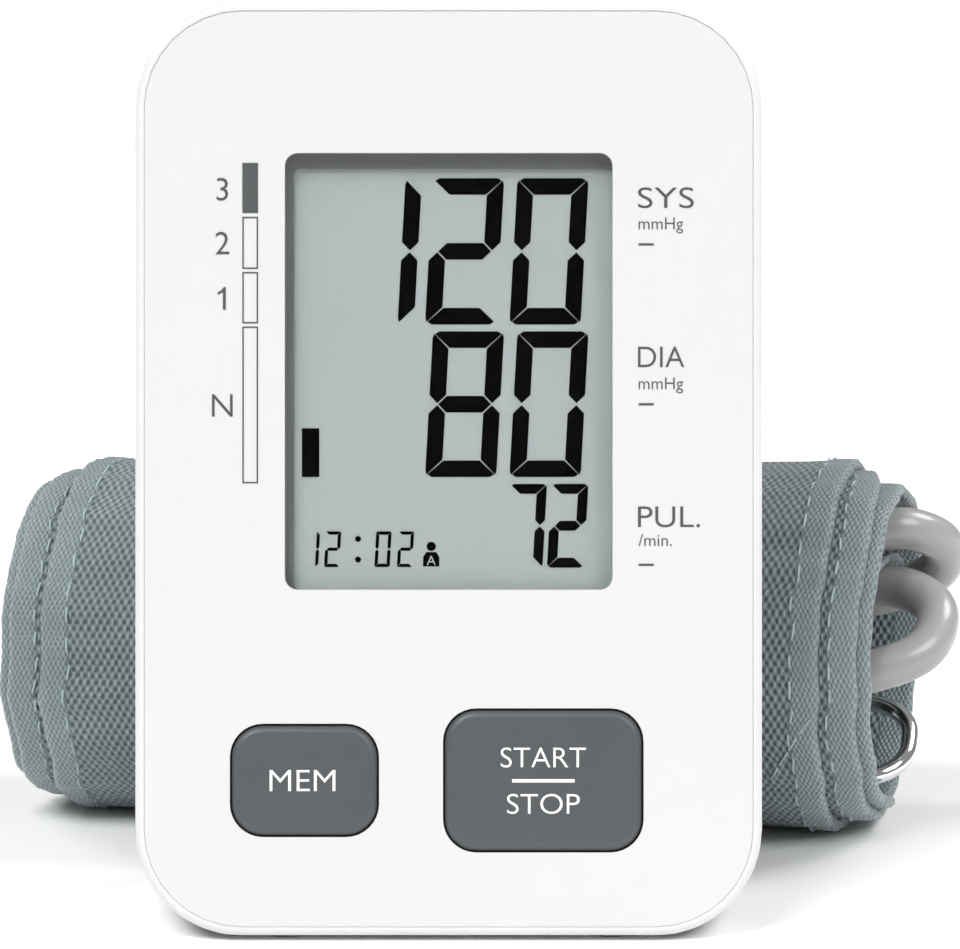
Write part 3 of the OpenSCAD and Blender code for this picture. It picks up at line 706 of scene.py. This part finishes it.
def make_face_print():
    shapes = [box_outline(*SCALE_X, *SCALE_FULL)]
    for _, low, high, _ in SCALE_BOXES:
        shapes += frame_outlines(*SCALE_X, low, high, SCALE_LINE)
    for *_, dash in SIDE_LABELS:
        shapes.append(box_outline(SIDE_X + UNIT_INDENT, SIDE_X + DASH_END, dash - DASH_HALF, dash + DASH_HALF))
    flat_print("scale_print", shapes, PLATE_Y, "monitor", PRINT_GREY)
    for label, middle in [SCALE_FULL_LABEL] + [(row[0], row[3]) for row in SCALE_BOXES]:
        foot = middle - SCALE_CAP / 2
        if label == "1":
            one = [(SCALE_LABEL_X + x, foot + z) for x, z in FIGURE_ONE]
            flat_print("scale_mark_1", [one], PLATE_Y, "monitor", PRINT_GREY)
            continue
        text_print(
            "scale_mark_" + label, label, SCALE_LABEL_X, foot, SCALE_CAP, PLATE_Y, "monitor", PRINT_GREY,
            "dark_plastic"
        )
    for label, unit, label_w, unit_w, label_z, unit_z, _ in SIDE_LABELS:
        tag = label.strip(".").lower()
        text_print(
            "mark_" + tag, label, SIDE_X, label_z, SIDE_CAP, PLATE_Y, "monitor", PRINT_GREY, "dark_plastic",
            "LEFT", label_w
        )
        foot = unit_z - (UNIT_TAIL if unit == "mmHg" else 0)
        text_print(
            "unit_" + tag, unit, SIDE_X + UNIT_INDENT, foot, UNIT_CAP, PLATE_Y, "monitor", PRINT_GREY,
            "dark_plastic", "LEFT", unit_w
        )


# Each word on a key: name, word, body, the key's middle, its offset from there, capital height and width.
KEY_WORDS = [
    ("mem_word", "MEM", "mem_key", MEM_MIDDLE, (-0.3, -1.7), 3.4, 10.5),
    ("start_word", "START", "start_key", START_MIDDLE, (0, 2.1), 3.2, 13.6),
    ("stop_word", "STOP", "start_key", START_MIDDLE, (0, -5.3), 3.2, 11.6),
]
START_BAR = (-5, 5, -0.3, 0.25)


def make_button_print():
    for name, word, body, (x, z), (dx, dz), cap, width in KEY_WORDS:
        text_print(name, word, x + dx, z + dz, cap, KEY_Y, body, PRINT_WHITE, "white_plastic", width=width)
    x, z = START_MIDDLE
    left, right, low, high = START_BAR
    bar = box_outline(x + left, x + right, z + low, z + high)
    flat_print("start_bar", [bar], KEY_Y, "start_key", PRINT_WHITE)


make_face_print()
make_button_print()


# ---------------------------------------------------------------- cells

BAND_L = 13
BAND_PROUD = 0.06
BAND_SINK = 0.1
SHOULDER_FALL = 0.05
SHOULDER_IN = 0.6
WIDE_SHARE = 0.8


def make_cell_bands():
    """Coppery band at the stud end of each cell, from the cells' own places."""
    mesh = frame["nodes"]["batteries"].data
    edit = bmesh.new()
    edit.from_mesh(mesh)
    weld(CAD_WELD)(edit)
    cells, seen = [], set()
    for first in edit.verts:
        if first in seen:
            continue
        seen.add(first)
        group, front = [], [first]
        while front:
            vert = front.pop()
            group.append(vert)
            for edge in vert.link_edges:
                other = edge.other_vert(vert)
                if other not in seen:
                    seen.add(other)
                    front.append(other)
        cells.append([v.co.copy() for v in group])
    edit.free()
    along = (UP + DEPTH * REAR_SLOPE).normalized()
    out = along.cross(ACROSS)
    for i, places in enumerate(cells):
        across = [p.dot(ACROSS) for p in places]
        deep = [p.dot(out) for p in places]
        centre = ACROSS * (min(across) + max(across)) / 2 + out * (min(deep) + max(deep)) / 2
        radius = (max(across) - min(across)) / 2
        wide = [p.dot(along) for p in places if (p - centre - along * p.dot(along)).length > WIDE_SHARE * radius]
        spans = [p.dot(along) for p in places]
        up = max(spans) - max(wide) > min(wide) - min(spans)
        facing = along if up else -along
        start = centre + along * (max(wide) if up else min(wide)) - facing * BAND_L * MM
        r = radius / MM
        proud = r + BAND_PROUD
        profile = [(0, r - BAND_SINK), (0, proud), (BAND_L, proud), (BAND_L + SHOULDER_FALL, r - SHOULDER_IN)]
        turned("cell_band_%d" % (i + 1), profile, start, facing, "monitor", COPPER)


# ---------------------------------------------------------------- display

# Lit bars of each digit, named as on any seven-bar display.
SEGMENTS = {"0": "abcdef", "1": "ef", "2": "abged", "7": "abc", "8": "abcdefg"}
LCD_Y = face_box("lcd_panel")[1][0] - PRINT_LIFT
SLANT = 0.055


def segment_outlines(digit, x, z, w, h, t, gap):
    """Outlines of the lit bars of a seven-bar digit, with mitred ends."""
    m, g = h / 2, gap / 2

    def lean(px, pz):
        return (x + px + SLANT * pz, z + pz)

    k = t / 6

    def flat_bar(z_out, z_in):
        dip = k if z_out > z_in else -k
        return [(g + k / 2, z_out - dip), (g + 2 * k, z_out), (w - g - 2 * k, z_out), (w - g - k / 2, z_out - dip),
                (w - t - g, z_in), (t + g, z_in)]

    def side_bar(x_out, x_in, z_end, up):
        d = 1 if up else -1
        across = k / 2 if x_in > x_out else -k / 2
        return [(x_out, z_end - d * (g + 2 * k)), (x_out + across, z_end - d * (g + k / 2)),
                (x_in, z_end - d * (t + g)), (x_in, m + d * (t / 2 + g)), ((x_out + x_in) / 2, m + d * g),
                (x_out, m + d * (t / 2 + g))]

    bars = {
        "a": flat_bar(h, h - t), "d": flat_bar(0, t),
        "g": [(t / 2 + g, m), (t + g, m + t / 2), (w - t - g, m + t / 2), (w - t / 2 - g, m),
              (w - t - g, m - t / 2), (t + g, m - t / 2)],
        "f": side_bar(0, t, h, True), "b": side_bar(w, w - t, h, True),
        "e": side_bar(0, t, 0, False), "c": side_bar(w, w - t, 0, False),
    }
    return [[lean(*p) for p in bars[name]] for name in SEGMENTS[digit]]


def disc_outline(x, z, r, steps=20):
    return [(x + r * math.cos(2 * math.pi * k / steps), z + r * math.sin(2 * math.pi * k / steps))
            for k in range(steps)]


# Each row: digits, their left edges, their foot, width, height, bar and gap, in face-frame mm.
DIGIT_ROWS = [
    ("120", (-8.2, -3.8, 9.7), 97.6, 11.4, 23.4, 2.65, 0.3),
    ("80", (-3.8, 9.7), 73.2, 11.4, 23.3, 2.65, 0.3),
    ("72", (9.1, 15.7), 58.7, 5.9, 13.4, 1.6, 0.2),
    ("1202", (-21.4, -19.95, -11.9, -8.3), 58.8, 2.45, 5.7, 0.52, 0.08),
]
LEVEL_BAR = (-23.5, -20.7, 73.2, 81.0)
COLON_X = -14.5
COLON_Z = (63.3, 60.0)
COLON_R = 0.48
USER_X = -2.8
USER_HEAD = (62.1, 0.75)
USER_BODY = [(-1.3, 58.9), (1.3, 58.9), (1.3, 60.4), (0.8, 61.2), (-0.8, 61.2), (-1.3, 60.4)]
USER_LETTER = (59.1, 1.5)
USER_LETTER_LIFT = 0.06


def make_display():
    """Lit bars and marks of the display."""
    shapes = []
    for digits, places, z, w, h, t, gap in DIGIT_ROWS:
        for digit, x in zip(digits, places):
            shapes += segment_outlines(digit, x, z, w, h, t, gap)
    shapes.append(box_outline(*LEVEL_BAR))
    shapes += [disc_outline(COLON_X, z, COLON_R) for z in COLON_Z]
    shapes.append(disc_outline(USER_X, *USER_HEAD))
    shapes.append([(USER_X + x, z) for x, z in USER_BODY])
    flat_print("lcd_bars", shapes, LCD_Y, "monitor", PRINT_BLACK)
    text_print(
        "user_mark", "A", USER_X, *USER_LETTER, LCD_Y - USER_LETTER_LIFT, "monitor", LCD_LIGHT, "lcd_glass"
    )


make_display()


# ---------------------------------------------------------------- air tube and its ends

def make_tube():
    data = bpy.data.curves.new("air_tube_curve", "CURVE")
    data.dimensions = "3D"
    data.bevel_depth = TUBE_D / 2 * MM
    data.bevel_resolution = TUBE_ROUNDNESS
    data.use_fill_caps = True
    spline = data.splines.new("POLY")
    spline.points.add(len(TUBE_LINE) - 1)
    for point, place in zip(spline.points, TUBE_LINE):
        point.co = (*roll(*place), 1)
    data.materials.append(LOOKS["tube_pvc"])
    tube = linked(bpy.data.objects.new("air_tube_line", data))
    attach(tube, "cuff")
    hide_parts("air_tube")
    return tube


def turned(name, profile, place, along, body, look, steps=40):
    """Turned piece: profile is a list of (distance along, radius) in mm, closed at both ends."""
    along = along.normalized()
    side = along.cross(Z_UP).normalized()
    other = along.cross(side)
    points = []
    for distance, radius in profile:
        for k in range(steps):
            a = 2 * math.pi * k / steps
            points.append(place + (along * distance + (side * math.cos(a) + other * math.sin(a)) * radius) * MM)
    return mesh_piece(name, points, loft_faces(len(profile), steps), body, look)


# The plug's profile, as (distance along, radius): its end, the grooves of its grip, and its nose.
PLUG_END = [(0, 4.3), (0.4, 4.8), (1.2, 5.1)]
PLUG_GROOVE = [(0, 5.15), (0.35, 4.65), (0.9, 4.65), (1.25, 5.15)]
PLUG_NOSE = [
    (15.2, 5.1), (15.8, 4.7), (16, 3.4), (16.3, 2.5), (20, 2.5), (20.2, 2.3), (23, 2.3), (23.2, 2.5),
    (26.4, 2.45), (27, 2.0),
]
GROOVE_COUNT = 6
GROOVE_START = 2.2
GROOVE_PITCH = 1.9


def make_plug():
    """Push-in plug: ribbed grip, shoulder, and a nose with two low barbs."""
    profile = list(PLUG_END)
    for i in range(GROOVE_COUNT):
        start = GROOVE_START + i * GROOVE_PITCH
        profile += [(start + along, radius) for along, radius in PLUG_GROOVE]
    profile += PLUG_NOSE
    plug = turned("air_plug_body", profile, roll(*TUBE_ROUTE[-1]), -ROLL_AXIS, "cuff", LOOKS["jack_plastic"])
    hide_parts("air_plug")
    return plug


make_cell_bands()
TUBE = make_tube()
PLUG = make_plug()


# ---------------------------------------------------------------- slide ring

RING_SPAN = (-72, 75)
RING_W = 19
RING_BEND = 8
RING_WIRE = 1.5
RING_TILT = math.radians(29)
RING_SIDES = 16


def make_ring():
    """Chromed wire loop as one swept tube with round corners."""
    outline = rounded_ring(*RING_SPAN, 0, RING_W, RING_BEND, steps=8)
    points = []
    count = len(outline)
    for i, (x, w) in enumerate(outline):
        before, after = Vector(outline[i - 1]), Vector(outline[(i + 1) % count])
        out = Vector((after.y - before.y, before.x - after.x)).normalized()
        for k in range(RING_SIDES):
            a = 2 * math.pi * k / RING_SIDES
            px, pw = x + out.x * RING_WIRE * math.cos(a), w + out.y * RING_WIRE * math.cos(a)
            lift = RING_WIRE * math.sin(a)
            y = RING_BAR[0] + pw * math.cos(RING_TILT) - lift * math.sin(RING_TILT)
            z = RING_BAR[1] + pw * math.sin(RING_TILT) + lift * math.cos(RING_TILT)
            points.append(roll(px, y, z))
    ring = mesh_piece("slide_ring", points, loft_faces(count, RING_SIDES, closed=True), "ring",
                      LOOKS["chrome_wire"], 60)
    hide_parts("d_ring")


make_ring()


# ---------------------------------------------------------------- rolled cuff

CORE_R = 24.1
TURN_PITCH = 2.0
CLOTH_T = 1.7
TURNS_DEG = 922
START_DEG = 262
FLAP_DEG = 560
TAPER = 0.022
TAPER_LENGTH = 60
RACK = 0.1
BOTTOM_TURN = 712
FLOOR_GAP = 0.02
ANGLE_STEP = 3
ACROSS_STEP = 2.0
STRIP_HALF = 73.5
INNER_NARROWS = 2.0
FLAP_NARROWS = 6.0
CLOTH_IN = 1
HEM_W = 5.2
HEM_COLUMNS = 9
HEM_ARCH = 0.18
HEM_PINCH = 0.5
HEM_UNDER = 0.06
HEM_OVER = 0.08
END_HEM_IN = 4.9
END_HEM_TURN = (9, 0.6)
END_HEM_UNDER = 0.05
END_HEM_OVER = 0.06
END_HEM_ARCH = 0.16
CREASE_SOFT = 0.6
CREASE_FOLDS = 0.4
CREASE_SLANTED = 0.35
CREASE_PUCKER = 0.75
RIM_WANDER = 1.3
RIM_RIPPLE = 0.45
SMOOTH_CLOTH = 50
SMOOTH_HEM = 75


def ease(value, low, high):
    """Smooth step from 0 at low to 1 at high."""
    t = min(1, max(0, (value - low) / (high - low)))
    return t * t * (3 - 2 * t)


def half_width(a):
    """Half the strip's width at a turn angle: it narrows towards the closing flap."""
    return STRIP_HALF - INNER_NARROWS * ease(a, 180, 320) - FLAP_NARROWS * ease(a, 500, 600)


def crease(angle, x, half):
    """Radial unevenness of the roll, in mm: long soft folds, and puckers near the hems."""
    c, s = math.cos(angle), math.sin(angle)
    soft = noise.noise(Vector((c * 1.6, s * 1.6, x / 34)))
    folds = noise.noise(Vector((c * 5, s * 5, x / 16 + 7)))
    slanted = noise.noise(Vector((c * 7 + x / 26, s * 7 - x / 26, x / 48 + 31)))
    hem = ease(abs(x), half - 26, half - 4)
    pucker = noise.noise(Vector((c * 13, s * 13, x / 22 + 19)))
    return CREASE_SOFT * soft + CREASE_FOLDS * folds + CREASE_SLANTED * slanted + hem * CREASE_PUCKER * pucker


def rim_wander(angle, x):
    """How far the hems wander along the roll, in mm, growing towards the rims."""
    c, s = math.cos(angle), math.sin(angle)
    wander = noise.noise(Vector((c * 2.2, s * 2.2, 3 + math.copysign(5, x))))
    ripple = noise.noise(Vector((c * 8, s * 8, 11 + math.copysign(5, x))))
    return (RIM_WANDER * wander + RIM_RIPPLE * ripple) * ease(abs(x), 35, 72)


def strip_place(a, x, lift):
    """Point of the rolled strip at a turn angle, a distance along the roll and a lift off its inner face."""
    angle = math.radians(START_DEG - a)
    half = half_width(a)
    r = CORE_R + TURN_PITCH * a / 360 + lift
    r += crease(angle, x, half) * (0.45 + 0.55 * a / TURNS_DEG)
    scale = 1 + TAPER * x / TAPER_LENGTH
    r *= scale
    y, z = r * math.cos(angle), r * math.sin(angle)
    low = (CORE_R + TURN_PITCH * BOTTOM_TURN / 360 + CLOTH_T) * (scale - 1)
    along = x + RACK * y + rim_wander(angle, x) * (0.6 + 0.4 * a / TURNS_DEG)
    return roll(along, y, max(z + low, -ROLL_ORIGIN.z / MM + FLOOR_GAP))


def sheet_faces(n, m):
    """Faces of a closed sheet: two layers of n + 1 rows of m + 1 points, joined all the way round."""
    row, layer = m + 1, (n + 1) * (m + 1)
    faces = []
    for i in range(n):
        for k in range(m):
            p = i * row + k
            faces.append((p, p + 1, p + row + 1, p + row))
            q = p + layer
            faces.append((q, q + row, q + row + 1, q + 1))
        for k in (0, m):
            p = i * row + k
            faces.append((p, p + row, p + row + layer, p + layer))
    for i in (0, n):
        for k in range(m):
            p = i * row + k
            faces.append((p, p + 1, p + 1 + layer, p + layer))
    return faces


def lay_flat(obj, uvs):
    """Gives a cloth piece its flat coordinates, in mm, for the weave."""
    layer = obj.data.uv_layers.new(name="strip")
    for loop in obj.data.loops:
        layer.data[loop.index].uv = uvs[loop.vertex_index]


def strip_piece(name, turns, sides, lifts, slot, across=None, arch=0.0, pinch=0.0):
    """Closed band of the strip, between two turn angles, two edges given as functions of the angle, and two lifts.

    The arch raises its outer face, and the pinch rounds its edges."""
    (a0, a1), (side0, side1) = turns, sides
    n = max(2, round((a1 - a0) / ANGLE_STEP))
    m = across or max(2, round(abs(side1(a0) - side0(a0)) / ACROSS_STEP))
    points, uvs = [], []
    for outer, lift in enumerate(lifts):
        for i in range(n + 1):
            a = a0 + (a1 - a0) * i / n
            run = math.radians(a) * (CORE_R + TURN_PITCH * a / 720)
            for k in range(m + 1):
                t = k / m
                x = side0(a) + (side1(a) - side0(a)) * t
                tuck = pinch * (2 * t - 1) ** 10
                rise = arch * (1 - (2 * t - 1) ** 4) - tuck if outer else tuck
                points.append(strip_place(a, x, lift + rise))
                uvs.append((run, x + lift))
    smooth = SMOOTH_HEM if pinch else SMOOTH_CLOTH
    obj = mesh_piece(name, points, sheet_faces(n, m), "cuff", LOOKS[slot], smooth)
    lay_flat(obj, uvs)
    return obj


def make_cuff():
    """The rolled strip: inner section, closing flap, hems on both sides and the hem of the flap's end."""
    edges = (lambda a: -half_width(a) + CLOTH_IN, lambda a: half_width(a) - CLOTH_IN)
    cover = strip_piece("cuff_inner_cloth", (0, FLAP_DEG), edges, (0, CLOTH_T), "cuff_cloth")
    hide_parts("cuff_cover", "loop_panel")
    flap = strip_piece("cuff_flap_cloth", (FLAP_DEG, TURNS_DEG), edges, (0, CLOTH_T), "cuff_cloth")
    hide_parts("cuff_flap", "hook_tape")
    for side, name in ((-1, "left"), (1, "right")):
        edges = (lambda a, s=side: s * (half_width(a) - HEM_W), lambda a, s=side: s * half_width(a))
        for turns, part in (((0, FLAP_DEG), "cover"), ((FLAP_DEG, TURNS_DEG), "flap")):
            strip_piece(
                "hem_" + part + "_" + name, turns, edges, (-HEM_UNDER, CLOTH_T + HEM_OVER), "cuff_trim",
                across=HEM_COLUMNS, arch=HEM_ARCH, pinch=HEM_PINCH
            )
    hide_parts("edge_binding")
    before, after = END_HEM_TURN
    edges = (lambda a: END_HEM_IN - half_width(a), lambda a: half_width(a) - END_HEM_IN)
    strip_piece(
        "hem_flap_end", (TURNS_DEG - before, TURNS_DEG + after), edges, (-END_HEM_UNDER, CLOTH_T + END_HEM_OVER),
        "cuff_trim", arch=END_HEM_ARCH
    )


THREAD_R = 0.2
THREAD_SINK = 0.2
THREAD_SIDES = 6
STITCH_RISE = 0.28
STITCH_STEPS = 5
MEAN_R = 30


def stitch(points, faces, a0, a1, x0, x1):
    """One thread dash lying on the strip: a low rounded bar."""
    first = len(points)
    for i in range(STITCH_STEPS + 1):
        t = i / STITCH_STEPS
        a, x = a0 + (a1 - a0) * t, x0 + (x1 - x0) * t
        rise = CLOTH_T + THREAD_R + STITCH_RISE * math.sin(math.pi * t) ** 0.5
        along = Vector((math.radians(a1 - a0) * MEAN_R, x1 - x0)).normalized()
        for k in range(THREAD_SIDES):
            b = 2 * math.pi * k / THREAD_SIDES
            off = THREAD_R * math.cos(b)
            points.append(strip_place(
                a - math.degrees(off * along.y / MEAN_R), x + off * along.x,
                rise - THREAD_SINK + THREAD_R * math.sin(b)
            ))
    faces.extend(loft_faces(STITCH_STEPS + 1, THREAD_SIDES, first=first))


FOLD_PROFILE = [(-23.4, 3), (-22.6, 7.5), (-18.5, 11.5), (-12, 14.4), (-5, 15.9), (1, 16.2), (6, 15.6), (9, 13.9)]
FOLD_T = 1.1
FOLD_START = 46
FOLD_END = 68.5
FOLD_REACH = 5
FOLD_STEPS = 5
FOLD_COLUMNS = 24
FOLD_CRUMPLE = 0.7


def make_inner_fold():
    """Inner corner of the cloth that has come away from the near wall and lies between the tube's loops."""
    profile = smooth_line([Vector((0, y, z)) for y, z in FOLD_PROFILE], FOLD_STEPS)
    points, uvs = [], []
    n, m = len(profile), FOLD_COLUMNS
    for layer in (0, 1):
        run = 0
        for i, place in enumerate(profile):
            ahead = profile[min(i + 1, n - 1)] - profile[max(i - 1, 0)]
            out = Vector((0, -ahead.z, ahead.y)).normalized()
            if i:
                run += (place - profile[i - 1]).length
            t = i / (n - 1)
            end = FOLD_END + FOLD_REACH * t ** 1.5
            for k in range(m + 1):
                x = FOLD_START + (end - FOLD_START) * k / m
                bend = noise.noise(Vector((x / 9, run / 5, 3)))
                crumple = FOLD_CRUMPLE * bend * min(1, 4 * t) * (1 - 0.4 * t)
                points.append(roll(x, *(place + out * (crumple + (layer - 0.5) * FOLD_T)).yz))
                uvs.append((run, x + layer * FOLD_T))
    fold = mesh_piece(
        "cuff_inner_fold", points, sheet_faces(n - 1, m), "cuff", LOOKS["cuff_trim"], SMOOTH_CLOTH
    )
    lay_flat(fold, uvs)


SLEEVE_HALF = 58
SLEEVE_STEPS = 58
SLEEVE_SIDES = 20
SLEEVE_BORE = 1.62
SLEEVE_R = 2.72
SLEEVE_GATHER = 0.22
SLEEVE_END_IN = 0.25
SLEEVE_END = 4
SLEEVE_WRAP = 2.9


def make_sleeve():
    """Cloth sleeve sewn round the slide ring's lower bar, gathered at its ends."""
    points, uvs = [], []
    rows = [(i, 1) for i in range(SLEEVE_STEPS + 1)] + [(i, 0) for i in range(SLEEVE_STEPS, -1, -1)]
    for i, outer in rows:
        x = -SLEEVE_HALF + 2 * SLEEVE_HALF * i / SLEEVE_STEPS
        for k in range(SLEEVE_SIDES):
            a = 2 * math.pi * k / SLEEVE_SIDES
            r = SLEEVE_BORE
            if outer:
                gather = SLEEVE_GATHER * noise.noise(Vector((math.cos(a) * 2, math.sin(a) * 2, x / 7)))
                r = SLEEVE_R + gather - SLEEVE_END_IN * ease(abs(x), SLEEVE_HALF - SLEEVE_END, SLEEVE_HALF)
            points.append(roll(x, RING_BAR[0] + r * math.cos(a), RING_BAR[1] + r * math.sin(a)))
            uvs.append((x, a * SLEEVE_WRAP))
    sleeve = mesh_piece(
        "ring_sleeve_cloth", points, loft_faces(len(rows), SLEEVE_SIDES, closed=True), "cuff",
        LOOKS["cuff_cloth"], SMOOTH_CLOTH
    )
    lay_flat(sleeve, uvs)
    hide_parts("d_ring_sleeve")


STITCH_SEED = 7
STITCH_TURNS = ((150, 560), (562, 915))
STITCH_IN = 4.5
CROSS_COUNT = 4
CROSS_TURN = (768, 773.4)
CROSS_X = (56.6, 58.4)
CROSS_STEP = (6, 2)
END_SEAM_X = (-58, 56)
END_SEAM_IN = 7.5
SMOOTH_THREAD = 80


def make_stitches():
    """Seams along both hems, a short cross seam at the right, and the seam of the flap's end."""
    chance = random.Random(STITCH_SEED)
    points, faces = [], []
    for side in (-1, 1):
        for a0, a1 in STITCH_TURNS:
            a = a0
            while a < a1:
                x = side * (half_width(a) - STITCH_IN + chance.uniform(-0.25, 0.25))
                span = chance.uniform(4.6, 6.2)
                stitch(points, faces, a, a + span, x, x + side * chance.uniform(-0.3, 0.3))
                a += span + chance.uniform(2.8, 4.2)
    for k in range(CROSS_COUNT):
        turn, shift = CROSS_STEP[0] * k, CROSS_STEP[1] * k
        stitch(points, faces, CROSS_TURN[0] + turn, CROSS_TURN[1] + turn, CROSS_X[0] + shift, CROSS_X[1] + shift)
    x, x_end = END_SEAM_X
    while x < x_end:
        span = chance.uniform(2.4, 3.2)
        a = TURNS_DEG - END_SEAM_IN + chance.uniform(-0.3, 0.3)
        stitch(points, faces, a, a, x, x + span)
        x += span + chance.uniform(1.4, 2.0)
    mesh_piece("cuff_stitches", points, faces, "cuff", THREAD, SMOOTH_THREAD)


make_cuff()
make_inner_fold()
make_sleeve()
make_stitches()


# ---------------------------------------------------------------- floor and light

FLOOR_HALF = 8.0
WORLD_STRENGTH = 0.28
# Each sun: name, direction, spread in degrees, strength.
SUNS = [
    ("softbox", (0.36, 0.5, -0.79), 30, 2.25),
    ("fill", (-0.5, 0.45, -0.6), 30, 1.2),
]
# Each round lamp: name, place, target, size, power.
LAMPS = [
    ("edge_left", (-0.5, 0.4, 0.45), (0, 0.03, 0.05), 0.3, 1.3),
    ("edge_right", (0.4, 0.2, 0.45), (0.06, 0.03, 0.045), 0.25, 1.3),
]


def make_stage():
    mesh = bpy.data.meshes.new("floor")
    corners = [(-1, -1), (1, -1), (1, 1), (-1, 1)]
    mesh.from_pydata([(x * FLOOR_HALF, y * FLOOR_HALF, 0) for x, y in corners], [], [(0, 1, 2, 3)])
    floor = linked(bpy.data.objects.new("floor", mesh))
    look = Look("floor_look", (0.96, 0.96, 0.96), 0.7)
    look.vary_color(look.noise(4, 2), 0.004)
    mesh.materials.append(look.material)


def aimed_light(name, kind, direction, power):
    """A light that shines along a direction."""
    data = bpy.data.lights.new(name, kind)
    data.energy = power
    light = linked(bpy.data.objects.new(name, data))
    light.rotation_euler = direction.to_track_quat("-Z", "Y").to_euler()
    return light


def make_light():
    world = bpy.data.worlds.new("studio")
    world.use_nodes = True
    background = world.node_tree.nodes["Background"]
    background.inputs["Color"].default_value = (1, 1, 1, 1)
    background.inputs["Strength"].default_value = WORLD_STRENGTH
    bpy.context.scene.world = world
    for name, direction, spread, strength in SUNS:
        sun = aimed_light(name, "SUN", Vector(direction), strength)
        sun.data.angle = math.radians(spread)
    for name, place, target, size, power in LAMPS:
        lamp = aimed_light(name, "AREA", Vector(target) - Vector(place), power)
        lamp.data.shape = "DISK"
        lamp.data.size = size
        lamp.location = place


make_stage()
make_light()
bpy.context.scene.view_settings.view_transform = "Standard"
